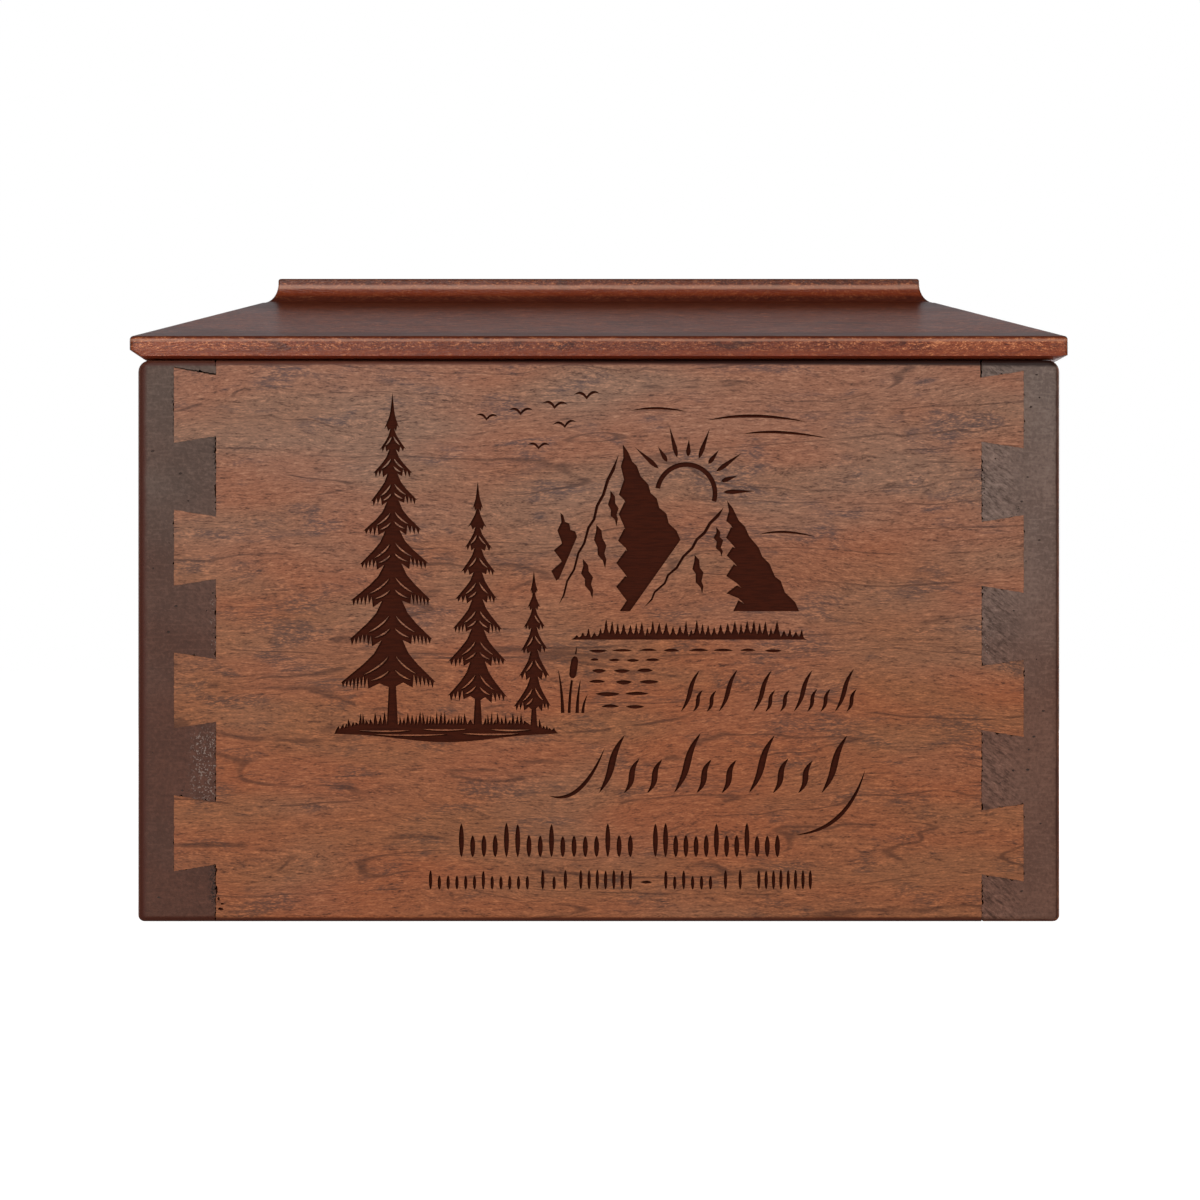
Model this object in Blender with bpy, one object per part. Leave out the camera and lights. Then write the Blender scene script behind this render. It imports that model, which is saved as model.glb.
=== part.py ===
"""Cremation urn box: a dovetailed box of stained wood with a loose raised-panel lid and an engraved front.

Four boards stand on edge around an empty inside. The front and back boards end in tails, which lie in
sockets cut into the two end boards, so the end boards' end grain shows on the front and back as a band with
pins. A bottom panel lies in a groove all round. The lid lifts off: it rests on the boards' top edges, and a
shallow tongue under it finds its place between them. The front board carries an engraved lake scene and,
beside and below it, rows of shallow strokes.

World frame: +Z up, the front faces -Y, the origin is the middle of the footprint on the ground. Sizes are in
metres. The engraving is laid out in millimetres on the front face, x to the right and z up from the ground.
"""
import math
import random
from dataclasses import dataclass

import bmesh
import bpy

MM = 0.001

# Body: outer sizes, board thickness and rounded edges
BODY_WIDTH = 0.230
BODY_DEPTH = 0.175
BODY_HEIGHT = 0.140
BOARD = 0.0195
UPRIGHT_ROUND = 0.002
FOOT_ROUND = 0.0015
TOP_ROUND = 0.001
TOP_SIDE_ROUND = 0.0028
ROUND_STEPS = 4
LID_ROUND_STEPS = 2
GAP = 0.0003
REACH = 0.005

# Dovetails: tail length, pin widths at the board line and at the tips, first pin's height and the pitch
TAIL_LENGTH = 0.0105
PIN_AT_LINE = 0.02006
PIN_AT_TIP = 0.0167
LEFT_PINS = (0.0042, 0.03562)
RIGHT_PINS = (0.0017, 0.0360)
PIN_COUNT = 5

# Bottom panel in its groove
PANEL_BOTTOM = 0.006
PANEL_THICK = 0.008
GROOVE_DEPTH = 0.005

# Lid, from its underside up
LID_WIDTH = 0.234
LID_DEPTH = 0.179
LID_UNDERSIDE = BODY_HEIGHT + GAP
LID_CORNER = 0.0008
CHAMFER_IN = 0.0034
CHAMFER_UP = 0.0013
LID_EDGE_TOP = 0.1459
ARRIS = 0.0008
SLOPE_IN = 0.0319
SLOPE_TOP = 0.1555
COVE_IN = 0.0357
COVE_TOP = 0.1605
COVE_STEPS = 6
LID_TOP = 0.1617
FIELD_ARRIS = 0.0005
TONGUE_CLEARANCE = 0.0005
TONGUE_DEPTH = 0.005
TONGUE_CHAMFER = 0.001

# Engraving: depth of the cut, and how far its cutter stands out of the face
CUT_DEPTH = 0.0008
CUT_OUT = 0.001

# Near shore: left end, right end, height of its ground line; its firs as (x, tip, reach, tiers of boughs)
SHORE = (-66.0, -10.0, 46.8)
FIRS = ((-51.5, 132.0, 12.6, 9), (-30.2, 110.0, 8.2, 8), (-16.2, 87.5, 4.9, 6))
GRASS_PITCH = 1.5
GRASS_HEIGHT = (1.2, 3.2)
GRASS_WIDTH = (0.75, 1.15)
GRASS_LEAN = 0.35
GRASS_FADE = (7.0, 9.0)
BANK_EDGE = 0.6
BANK_SWELL = 1.8
BANK_DIP = 1.7
BANK_WAVE = 0.4
TREE_ROOM = 1.2

# Mountains: dark flanks as (summit, foot of the outer edge, low corner, foot of the broken inner edge,
# corners outside, corners inside), thin left ridges as (top, foot), short ribs as (top, foot, width)
FLANKS = (
    ((6.0, 119.0), (20.4, 95.2), (7.8, 77.4), (5.2, 77.4), 6, 12),
    ((32.0, 105.0), (50.0, 77.4), (42.0, 77.4), (33.5, 77.4), 6, 12),
    ((-9.6, 102.0), (-5.4, 96.0), (-9.9, 85.5), (-10.6, 85.0), 3, 7),
)
RIDGES = (((5.0, 116.6), (-10.0, 79.0)), ((31.2, 103.4), (11.0, 78.0)))
RIDGE_WIDTH = 0.85
RIBS = (
    ((2.9, 107.5), (4.4, 98.5), 2.0),
    ((-0.6, 99.0), (1.6, 88.0), 2.3),
    ((-4.0, 90.5), (-1.6, 80.5), 2.1),
    ((29.3, 98.5), (30.6, 91.0), 1.7),
    ((23.9, 91.5), (25.8, 81.8), 2.0),
)

# How uneven the mountains' lines are: shift of the corners along the line, and for each kind of line its
# number of corners where that isn't given above, how far they stand out, and how this grows downwards
CORNER_SHIFT = 0.22
OUTER_SWING = (0.5, 0.3)
INNER_SWING = (1.8, 0.7)
RIDGE_LINE = (8, 0.45, 0.2)
RIB_LINE = (4, 0.45, 0.1)
RIB_SHARES = (0.0, 0.84, 1.0, 0.6, 0.0)

# Far shore: left end, right end, ground line; heights and pitch of its tree tops
FAR_SHORE = (-7.0, 52.0, 70.3)
FAR_TREES = (2.6, 5.0)
FAR_PITCH = 1.9
FAR_WIDTH = (0.8, 1.2)
FAR_FADE = 7.0
FAR_NOTCH = 0.35

# Sun: centre, radius, band width, first and last angle of the band; first and last ray, their number, the
# length of the long ones, the share of it in the short ones, their distance from the band and their belly
SUN_CENTRE = (21.8, 106.8)
SUN_RADIUS = 7.8
SUN_BAND = 1.2
SUN_ARC = (-16.0, 170.0)
SUN_RAYS = (2.0, 138.0)
RAY_COUNT = 9
RAY_LENGTH = 8.0
RAY_SHORT = 0.55
RAY_START = 1.4
RAY_BELLY = 0.35

# Birds as (x, z, span, tilt), clouds as (left end, middle, right end, width)
BIRDS = (
    (-3.0, 131.0, 6.6, 0.0),
    (-11.0, 128.6, 6.4, -6.0),
    (-19.5, 127.0, 6.2, -3.0),
    (-8.5, 123.8, 6.0, 4.0),
    (-15.0, 118.4, 5.6, -4.0),
    (-28.0, 125.6, 5.6, -6.0),
)
CLOUDS = (
    ((27.0, 125.0), (38.0, 127.4), (52.0, 124.6), 0.8),
    ((36.0, 121.6), (44.0, 123.0), (57.0, 120.6), 0.7),
    ((40.0, 96.6), (46.0, 98.0), (54.0, 96.0), 0.6),
    ((8.0, 127.4), (14.0, 128.8), (22.0, 127.2), 0.6),
)

# Water as rows of (height, left end, right end, strokes, width)
WATER = (
    (67.6, -3.4, 47.0, 8, 0.8),
    (65.2, -3.0, 16.0, 4, 0.9),
    (62.6, -2.4, 15.0, 3, 1.0),
    (59.8, -3.0, 16.0, 3, 1.1),
    (56.8, -1.6, 14.0, 2, 1.2),
    (53.6, 0.0, 13.0, 2, 1.1),
)
RIPPLE_BEND = 0.3

# Reeds as (x, height, lean, width at the foot)
REED_FOOT = 52.0
REEDS = ((-9.0, 11.0, -1.2, 0.9), (-5.4, 8.4, 0.9, 0.9), (-4.0, 4.6, 1.2, 0.8))

# Bulrush: (x, height, lean) and widths of its stalk, its head and spike as (height over the stalk, width)
BULRUSH = (-7.4, 8.2, 0.7)
STALK_WIDTHS = (0.72, 0.56)
BULRUSH_HEAD = ((0.5, 0.6), (1.1, 1.7), (3.2, 1.9), (5.4, 1.6), (6.0, 0.5))
BULRUSH_SPIKE = ((6.5, 0.4), (7.4, 0.34), (8.6, 0.0))

# Slanted rows of pen strokes: left end, foot line, low height, tall height, pitch, width, bend, and the
# strokes in order: T tall, x low
SLANT = 24.0
TALL_WIDTH = 1.15
SLANTED_ROWS = (
    (20.5, 52.3, 5.6, 11.0, 3.3, 1.0, 0.35, "TxxT"),
    (38.5, 52.3, 5.6, 11.0, 3.3, 1.0, 0.35, "TxxTxxTx"),
    (0.0, 32.0, 8.4, 14.6, 6.1, 1.5, 0.5, "TxxTxxTxxT"),
)

# Long free strokes beside the slanted rows as (start, bend, end, width)
FLOURISHES = (
    ((-12.5, 31.4), (-4.4, 28.6), (1.6, 43.6), 1.0),
    ((66.5, 38.0), (62.0, 22.6), (49.0, 21.6), 1.0),
)

# Upright rows of chip-cut strokes: left end, right end, foot line, low height, tall height, width, and the
# strokes in order: T tall, x low
UPRIGHT_FULLNESS = 0.55
UPRIGHT_ROWS = (
    (-34.9, 8.5, 16.0, 5.5, 8.5, 1.25, "TxxxTTxxTxxxxTxx"),
    (13.5, 45.2, 16.0, 5.5, 8.5, 1.25, "TTxxxxTxxTxxx"),
    (-42.4, -17.4, 7.9, 3.5, 5.0, 0.85, "TxxxxxTxxxxx"),
    (-14.4, -7.9, 7.9, 3.5, 5.0, 0.85, "TxT"),
    (-4.9, 8.3, 7.9, 3.5, 5.0, 0.85, "TTTTTTT"),
    (16.3, 28.3, 7.9, 3.5, 5.0, 0.85, "TxTxxx"),
    (31.2, 35.7, 7.9, 3.5, 5.0, 0.85, "TT"),
    (39.5, 53.2, 7.9, 3.5, 5.0, 0.85, "TTTTTTTT"),
)
LEVEL_STROKE = ((10.5, 9.8), (11.9, 9.8), (13.3, 9.8), 0.7)

# Steps along the strokes
FINE_STEPS = 6
PLAIN_STEPS = 4
SUN_STEPS = 16


@dataclass(frozen=True)
class Finish:
    """The look of one kind of surface: its colour (linear red, green, blue) and its roughness."""

    name: str
    colour: tuple
    roughness: float

    def material(self):
        """Returns a new material with this finish."""
        material = bpy.data.materials.new(self.name)
        material.use_nodes = True
        shader = material.node_tree.nodes["Principled BSDF"]
        shader.inputs["Base Color"].default_value = (*self.colour, 1.0)
        shader.inputs["Roughness"].default_value = self.roughness
        shader.inputs["Metallic"].default_value = 0.0
        material.diffuse_color = (*self.colour, 1.0)
        return material


FRONT_WOOD = Finish("stained_front_wood", (0.230, 0.098, 0.057), 0.45)
BACK_WOOD = Finish("stained_back_wood", (0.225, 0.096, 0.056), 0.45)
LEFT_WOOD = Finish("stained_left_wood", (0.140, 0.066, 0.044), 0.50)
RIGHT_WOOD = Finish("stained_right_wood", (0.155, 0.074, 0.050), 0.50)
PANEL_WOOD = Finish("stained_panel_wood", (0.190, 0.084, 0.050), 0.55)
LID_WOOD = Finish("stained_lid_wood", (0.205, 0.088, 0.052), 0.38)


def clear_scene():
    """Removes every object that the scene starts with."""
    for item in list(bpy.data.objects):
        bpy.data.objects.remove(item, do_unlink=True)


def add_object(name, shape):
    """Turns a bmesh into an object of the scene and frees the bmesh."""
    shape.normal_update()
    mesh = bpy.data.meshes.new(name)
    shape.to_mesh(mesh)
    shape.free()
    item = bpy.data.objects.new(name, mesh)
    bpy.context.scene.collection.objects.link(item)
    return item


def dress(item, finish, smooth_angle=30.0):
    """Gives a finished piece its material and soft shading over its rounded edges."""
    item.data.materials.clear()
    item.data.materials.append(finish.material())
    item.data.shade_smooth()
    item.data.set_sharp_from_angle(angle=math.radians(smooth_angle))
    return item


def combine(item, cutter, operation):
    """Joins item with cutter by a Boolean operation and removes the cutter."""
    cutter.hide_render = True
    cutter.display_type = "WIRE"
    boolean = item.modifiers.new(operation.lower(), "BOOLEAN")
    boolean.operation = operation
    boolean.solver = "EXACT"
    boolean.object = cutter
    bpy.context.view_layer.update()
    graph = bpy.context.evaluated_depsgraph_get()
    result = bpy.data.meshes.new_from_object(item.evaluated_get(graph))
    item.modifiers.clear()
    old = item.data
    item.data = result
    result.name = item.name
    bpy.data.meshes.remove(old)
    bpy.data.objects.remove(cutter, do_unlink=True)
    return item


def box(name, low, high):
    """A box between two opposite corners."""
    shape = bmesh.new()
    bmesh.ops.create_cube(shape, size=1.0)
    size = [b - a for a, b in zip(low, high)]
    middle = [(a + b) / 2 for a, b in zip(low, high)]
    bmesh.ops.scale(shape, vec=size, verts=shape.verts)
    bmesh.ops.translate(shape, vec=middle, verts=shape.verts)
    return add_object(name, shape)


def doubled_area(outline):
    """Twice the area inside an outline, positive when it runs anticlockwise."""
    pairs = zip(outline, outline[1:] + outline[:1])
    return sum(a[0] * b[1] - b[0] * a[1] for a, b in pairs)


def prisms(name, outlines, near, far, scale=1.0):
    """Bars whose sections are outlines in x and z, running in y from near to far."""
    shape = bmesh.new()
    for outline in outlines:
        points = outline if doubled_area(outline) > 0 else outline[::-1]
        corners = [shape.verts.new((x * scale, near, z * scale)) for x, z in points]
        section = shape.faces.new(corners)
        grown = bmesh.ops.extrude_face_region(shape, geom=[section])
        moved = [part for part in grown["geom"] if isinstance(part, bmesh.types.BMVert)]
        bmesh.ops.translate(shape, vec=(0.0, far - near, 0.0), verts=moved)
    bmesh.ops.recalc_face_normals(shape, faces=shape.faces)
    return add_object(name, shape)


def rounded_rectangle(shape, half_x, half_y, radius, z, steps):
    """A ring of edges: a rectangle with rounded corners, at height z."""
    corners = ((1, 1, 0), (-1, 1, 90), (-1, -1, 180), (1, -1, 270))
    verts = []
    for side_x, side_y, turn in corners:
        for i in range(steps + 1):
            angle = math.radians(turn + 90.0 * i / steps)
            x = side_x * (half_x - radius) + radius * math.cos(angle)
            y = side_y * (half_y - radius) + radius * math.sin(angle)
            verts.append(shape.verts.new((x, y, z)))
    return [shape.edges.new((a, b)) for a, b in zip(verts, verts[1:] + verts[:1])]


def stack(name, sections, steps):
    """A solid through rounded rectangles, given from the lowest up as (half x, half y, radius, z)."""
    shape = bmesh.new()
    rings = [rounded_rectangle(shape, *section, steps) for section in sections]
    for below, above in zip(rings, rings[1:]):
        bmesh.ops.bridge_loops(shape, edges=below + above)
    for ring in (rings[0], rings[-1]):
        bmesh.ops.contextual_create(shape, geom=ring)
    bmesh.ops.recalc_face_normals(shape, faces=shape.faces)
    return add_object(name, shape)


def quarter(radius, steps):
    """(inset, rise) of the points of a quarter round, from its foot to its top."""
    turns = [math.radians(90.0 * i / steps) for i in range(steps + 1)]
    return [(radius * (1.0 - math.sin(t)), radius * (1.0 - math.cos(t))) for t in turns]


def inset_at(radius, rise):
    """How far a quarter round of this radius stands in, rise away from its outer end."""
    left = max(radius - rise, 0.0)
    return radius - math.sqrt(radius * radius - left * left)


def body_block(name):
    """The whole body as one block with rounded outer edges, out of which the boards are cut."""
    half_x = BODY_WIDTH / 2
    half_y = BODY_DEPTH / 2
    sections = []
    for inset, rise in quarter(FOOT_ROUND, ROUND_STEPS):
        sections.append((half_x - inset, half_y - inset, UPRIGHT_ROUND - inset, rise))
    for inset, rise in reversed(quarter(TOP_SIDE_ROUND, ROUND_STEPS)):
        face_inset = inset_at(TOP_ROUND, rise)
        radius = UPRIGHT_ROUND - face_inset
        sections.append((half_x - inset, half_y - face_inset, radius, BODY_HEIGHT - rise))
    return stack(name, sections, ROUND_STEPS)


def pin_edge(side, pins):
    """The edge of a tail board at one end, from below its foot to above its top."""
    first, pitch = pins
    line = side * (BODY_WIDTH / 2 - BOARD)
    tip = side * (BODY_WIDTH / 2 - BOARD + TAIL_LENGTH)
    points = []
    for k in range(PIN_COUNT):
        middle = first + pitch * k
        points.append((tip, middle - PIN_AT_TIP / 2))
        points.append((line, middle - PIN_AT_LINE / 2))
        points.append((line, middle + PIN_AT_LINE / 2))
        points.append((tip, middle + PIN_AT_TIP / 2))
    foot = (tip, points[0][1] - REACH)
    head = (tip, points[-1][1] + REACH)
    return [foot, *points, head]


def tail_board_outline():
    """The outline of the front and back boards with the tails at both ends, taller than the body."""
    return pin_edge(1, RIGHT_PINS) + pin_edge(-1, LEFT_PINS)[::-1]


def offset_outline(outline, distance):
    """The outline moved outwards by distance all round, with its corners kept sharp."""
    points = outline if doubled_area(outline) > 0 else outline[::-1]
    moved = []
    for before, here, after in zip(points[-1:] + points[:-1], points, points[1:] + points[:1]):
        first = math.atan2(here[1] - before[1], here[0] - before[0])
        second = math.atan2(after[1] - here[1], after[0] - here[0])
        normal_x = math.sin(first) + math.sin(second)
        normal_z = -math.cos(first) - math.cos(second)
        stretch = distance / (1.0 + math.cos(first - second))
        moved.append((here[0] + normal_x * stretch, here[1] + normal_z * stretch))
    return moved


def groove():
    """The cutter of the groove that the bottom panel lies in, open to all four boards."""
    reach_x = BODY_WIDTH / 2 - BOARD + GROOVE_DEPTH
    reach_y = BODY_DEPTH / 2 - BOARD + GROOVE_DEPTH
    low = (-reach_x, -reach_y, PANEL_BOTTOM - GAP)
    high = (reach_x, reach_y, PANEL_BOTTOM + PANEL_THICK + GAP)
    return box("groove", low, high)


def build_tail_board(name, side):
    """The front (side -1) or back (side 1) board."""
    inner = side * (BODY_DEPTH / 2 - BOARD)
    outer = side * (BODY_DEPTH / 2 + REACH)
    board = body_block(name)
    combine(board, prisms("board_shape", [tail_board_outline()], inner, outer), "INTERSECT")
    return combine(board, groove(), "DIFFERENCE")


def build_end_board(name, side):
    """The left (side -1) or right (side 1) board, with the sockets for the tails."""
    inner = side * (BODY_WIDTH / 2 - BOARD)
    outer = side * (BODY_WIDTH / 2 + REACH)
    far = BODY_DEPTH / 2 + REACH
    low = (min(inner, outer), -far, -REACH)
    high = (max(inner, outer), far, BODY_HEIGHT + REACH)
    board = combine(body_block(name), box("board_shape", low, high), "INTERSECT")
    sockets = [offset_outline(tail_board_outline(), GAP)]
    for face in (-1, 1):
        start = face * (BODY_DEPTH / 2 - BOARD - GAP)
        combine(board, prisms("sockets", sockets, start, face * far), "DIFFERENCE")
    return combine(board, groove(), "DIFFERENCE")


def build_bottom_panel(name):
    """The panel that lies loose in the groove."""
    half_x = BODY_WIDTH / 2 - BOARD + GROOVE_DEPTH - GAP
    half_y = BODY_DEPTH / 2 - BOARD + GROOVE_DEPTH - GAP
    top = PANEL_BOTTOM + PANEL_THICK
    return box(name, (-half_x, -half_y, PANEL_BOTTOM), (half_x, half_y, top))


def lid_profile():
    """(inset from the lid's outer edge, height, corner radius) from the tongue's foot up to the field."""
    tongue = (LID_WIDTH - BODY_WIDTH) / 2 + BOARD + TONGUE_CLEARANCE
    foot = LID_UNDERSIDE - TONGUE_DEPTH
    profile = [
        (tongue + TONGUE_CHAMFER, foot, LID_CORNER),
        (tongue, foot + TONGUE_CHAMFER, LID_CORNER),
        (tongue, LID_UNDERSIDE, LID_CORNER),
        (CHAMFER_IN, LID_UNDERSIDE, LID_CORNER),
        (0.0, LID_UNDERSIDE + CHAMFER_UP, LID_CORNER),
    ]
    rise = math.atan2(SLOPE_TOP - LID_EDGE_TOP, SLOPE_IN)
    slope_start = LID_EDGE_TOP + ARRIS * math.tan(rise)
    profile.append((0.0, LID_EDGE_TOP - ARRIS, LID_CORNER))
    profile.append((ARRIS * (1.0 - math.cos(rise)), LID_EDGE_TOP - ARRIS / 2, LID_CORNER))
    profile.append((ARRIS, slope_start, LID_CORNER))
    for i in range(COVE_STEPS + 1):
        turn = math.radians(90.0 * i / COVE_STEPS)
        inset = SLOPE_IN + (COVE_IN - SLOPE_IN) * math.sin(turn)
        height = SLOPE_TOP + (COVE_TOP - SLOPE_TOP) * (1.0 - math.cos(turn))
        profile.append((inset, height, LID_CORNER / 2))
    profile.append((COVE_IN, LID_TOP - FIELD_ARRIS, LID_CORNER / 2))
    profile.append((COVE_IN + FIELD_ARRIS, LID_TOP, LID_CORNER / 2))
    return profile


def build_lid(name):
    """The loose lid with its tongue, moulded edge, sloping borders and raised field, in one piece."""
    sections = []
    for inset, height, radius in lid_profile():
        sections.append((LID_WIDTH / 2 - inset, LID_DEPTH / 2 - inset, radius, height))
    return stack(name, sections, LID_ROUND_STEPS)


def bow(start, bend, end, steps):
    """Points of the curve that leaves start towards bend and arrives at end."""
    points = []
    for i in range(steps + 1):
        t = i / steps
        near = (1.0 - t) ** 2
        middle = 2.0 * t * (1.0 - t)
        far = t * t
        x = near * start[0] + middle * bend[0] + far * end[0]
        z = near * start[1] + middle * bend[1] + far * end[1]
        points.append((x, z))
    return points


def arc(centre, radius, first, last, steps):
    """Points of a circle's arc between two angles in degrees."""
    turns = [math.radians(first + (last - first) * i / steps) for i in range(steps + 1)]
    return [(centre[0] + radius * math.cos(t), centre[1] + radius * math.sin(t)) for t in turns]


def ribbon(path, widths):
    """The outline of a stroke along path with a width for each of its points; no width makes a sharp end."""
    left = []
    right = []
    for i, (x, z) in enumerate(path):
        before = path[max(i - 1, 0)]
        after = path[min(i + 1, len(path) - 1)]
        along = math.dist(before, after)
        across_x = (before[1] - after[1]) / along
        across_z = (after[0] - before[0]) / along
        half = widths[i] / 2
        left.append((x + across_x * half, z + across_z * half))
        if half > 0.0:
            right.append((x - across_x * half, z - across_z * half))
    return left + right[::-1]


def blade(path, width, fullness=0.8):
    """A stroke with two sharp ends, widest in its middle; a lower fullness keeps it wide for longer."""
    last = len(path) - 1
    belly = [width * math.sin(math.pi * i / last) ** fullness for i in range(1, last)]
    return ribbon(path, [0.0, *belly, 0.0])


def horn(path, width, fullness=0.7):
    """A stroke that starts wide and runs out to a sharp tip."""
    last = len(path) - 1
    return ribbon(path, [width * (1.0 - i / last) ** fullness for i in range(last)] + [0.0])


def broken_line(start, end, corners, swing, growth, chance):
    """A line from start to end whose corners stand to either side of it by turns, further out downwards."""
    along = math.dist(start, end)
    across_x = (start[1] - end[1]) / along
    across_z = (end[0] - start[0]) / along
    points = [start]
    for k in range(1, corners):
        t = (k + chance.uniform(-CORNER_SHIFT, CORNER_SHIFT)) / corners
        side = 1 if k % 2 else -1
        out = side * swing * t ** growth * chance.uniform(0.6, 1.0)
        x = start[0] + (end[0] - start[0]) * t + across_x * out
        z = start[1] + (end[1] - start[1]) * t + across_z * out
        points.append((x, z))
    points.append(end)
    return points


@dataclass(frozen=True)
class Fir:
    """A fir's proportions, as shares of its height, of its reach or of one tier of boughs."""

    crown: float = 0.81
    tip: float = 0.053
    spire: float = 0.5
    first_tier: float = 0.6
    tier_growth: float = 0.8
    sag_at: float = 0.45
    sag: float = 0.58
    fringe: float = 0.5
    notch: float = 0.12
    tooth: float = 0.15
    tooth_pitch: float = 3.2
    waist: float = 0.27
    thinnest: float = 0.45

    def side(self, height, reach, tiers, trunk, chance):
        """(out, down) points of one side, down from the tip: tier by tier, then the trunk."""
        weights = [self.first_tier + self.tier_growth * i / (tiers - 1) for i in range(tiers)]
        down = height * self.tip
        root = trunk * self.spire
        points = [(root, down)]
        for i, weight in enumerate(weights):
            pitch = height * self.crown * weight / sum(weights)
            out = reach * ((i + 1) / tiers) ** 0.85 * chance.uniform(0.86, 1.05)
            low = down + pitch * chance.uniform(0.98, 1.06)
            sag_out = root + (out - root) * self.sag_at
            sag_down = down + pitch * self.sag
            points.append((sag_out, sag_down))
            points.append((out, low))
            slope = (low - sag_down) / (out - sag_out)
            teeth = max(1, round(out / self.tooth_pitch))
            for k in range(teeth):
                inward = out * (1.0 - self.fringe * (k + 0.55) / teeth)
                hanging = out * (1.0 - self.fringe * (k + 0.85) / teeth)
                cut = min(pitch * self.notch, (out - inward) * slope * self.thinnest)
                points.append((inward, low - cut))
                points.append((hanging, low + pitch * self.tooth * chance.uniform(0.7, 1.2)))
            root = out * self.waist
            points.append((root, low))
            down = low
        points.append((trunk, down + trunk))
        points.append((trunk * 1.5, height))
        return points

    def outline(self, x, foot, tip, reach, tiers, chance):
        """The whole tree from the left of its foot over its tip to the right of its foot."""
        trunk = 0.35 + reach * 0.045
        left = self.side(tip - foot, reach, tiers, trunk, chance)
        right = self.side(tip - foot, reach, tiers, trunk, chance)
        rising = [(x - out, tip - down) for out, down in reversed(left)]
        falling = [(x + out, tip - down) for out, down in right]
        return [*rising, (x, tip), *falling]


def near_shore(chance):
    """The bank with its grass and firs, as one outline."""
    left, right, ground = SHORE
    x = left + GRASS_LEAN
    waiting = list(FIRS)
    points = [(left, ground)]
    while x < right - GRASS_PITCH:
        thinning = min(1.0, (x - left + GRASS_PITCH / 2) / GRASS_FADE[0], (right - x) / GRASS_FADE[1])
        base = ground + BANK_EDGE + BANK_SWELL * thinning
        if waiting and x + GRASS_PITCH > waiting[0][0] - TREE_ROOM:
            place, tip, reach, tiers = waiting.pop(0)
            tree = Fir().outline(place, base, tip, reach, tiers, chance)
            points.extend(tree)
            x = tree[-1][0] + GRASS_LEAN
            continue
        width = GRASS_PITCH * chance.uniform(*GRASS_WIDTH)
        height = chance.uniform(*GRASS_HEIGHT) * (1.0 + 2.0 * thinning) / 3.0
        lean = width * chance.uniform(-GRASS_LEAN, GRASS_LEAN)
        points.append((x, base))
        points.append((x + width / 2 + lean, base + height))
        x += width
    points.append((x, ground + BANK_EDGE))
    points.append((right, ground))
    for k in range(1, FINE_STEPS):
        t = k / FINE_STEPS
        dip = BANK_DIP * math.sin(math.pi * t) - BANK_WAVE * math.sin(3.0 * math.pi * t)
        points.append((right + (left - right) * t, ground - dip))
    return points


def far_shore(chance):
    """The low shore with its small tree tops, as one outline."""
    left, right, ground = FAR_SHORE
    x = left + FAR_PITCH / 2
    points = [(left, ground)]
    while x < right - FAR_PITCH:
        thinning = min(1.0, (x - left) / FAR_FADE, (right - x) / FAR_FADE)
        height = chance.uniform(*FAR_TREES) * (1.0 + 2.0 * thinning) / 3.0
        width = FAR_PITCH * chance.uniform(*FAR_WIDTH)
        points.append((x, ground + FAR_NOTCH * height))
        points.append((x + width / 2, ground + height))
        x += width
    points.append((x, ground + FAR_NOTCH))
    points.append((right, ground))
    return points


def mountains(chance):
    """The dark flanks, the thin ridges and the ribs."""
    shapes = []
    for summit, outer_foot, corner, inner_foot, outside, inside in FLANKS:
        outer = broken_line(summit, outer_foot, outside, *OUTER_SWING, chance)
        inner = broken_line(summit, inner_foot, inside, *INNER_SWING, chance)
        shapes.append([*outer, corner, *inner[:0:-1]])
    for top, foot in RIDGES:
        path = broken_line(top, foot, *RIDGE_LINE, chance)
        last = len(path) - 1
        widths = [RIDGE_WIDTH * (1.0 - 0.5 * i / last) for i in range(1, last)]
        shapes.append(ribbon(path, [0.0, *widths, 0.0]))
    for top, foot, width in RIBS:
        path = broken_line(top, foot, *RIB_LINE, chance)
        shapes.append(ribbon(path, [width * share for share in RIB_SHARES]))
    return shapes


def sun():
    """The band of the rising sun and its rays, long and short by turns."""
    first, last = SUN_ARC
    rim = arc(SUN_CENTRE, SUN_RADIUS, first, last, SUN_STEPS)
    shapes = [rim + arc(SUN_CENTRE, SUN_RADIUS - SUN_BAND, last, first, SUN_STEPS)]
    start = SUN_RADIUS + RAY_START
    for k in range(RAY_COUNT):
        turn = math.radians(SUN_RAYS[0] + (SUN_RAYS[1] - SUN_RAYS[0]) * k / (RAY_COUNT - 1))
        length = RAY_LENGTH * (1.0 if k % 2 == 0 else RAY_SHORT)
        reaches = (start, start + length * RAY_BELLY, start + length)
        path = [(SUN_CENTRE[0] + r * math.cos(turn), SUN_CENTRE[1] + r * math.sin(turn)) for r in reaches]
        shapes.append(ribbon(path, [0.0, SUN_BAND, 0.0]))
    return shapes


def bird(x, z, span, tilt):
    """A bird seen from the front, its wings spread."""
    over = [(-1.0, 0.10), (-0.62, 0.36), (-0.28, 0.28), (0.0, 0.02), (0.30, 0.32), (0.62, 0.42), (1.0, 0.20)]
    under = [(0.62, 0.20), (0.30, 0.06), (0.0, -0.24), (-0.28, 0.02), (-0.62, 0.14)]
    along = span / 2 * math.cos(math.radians(tilt))
    across = span / 2 * math.sin(math.radians(tilt))
    return [(x + u * along - v * across, z + u * across + v * along) for u, v in over + under]


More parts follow.
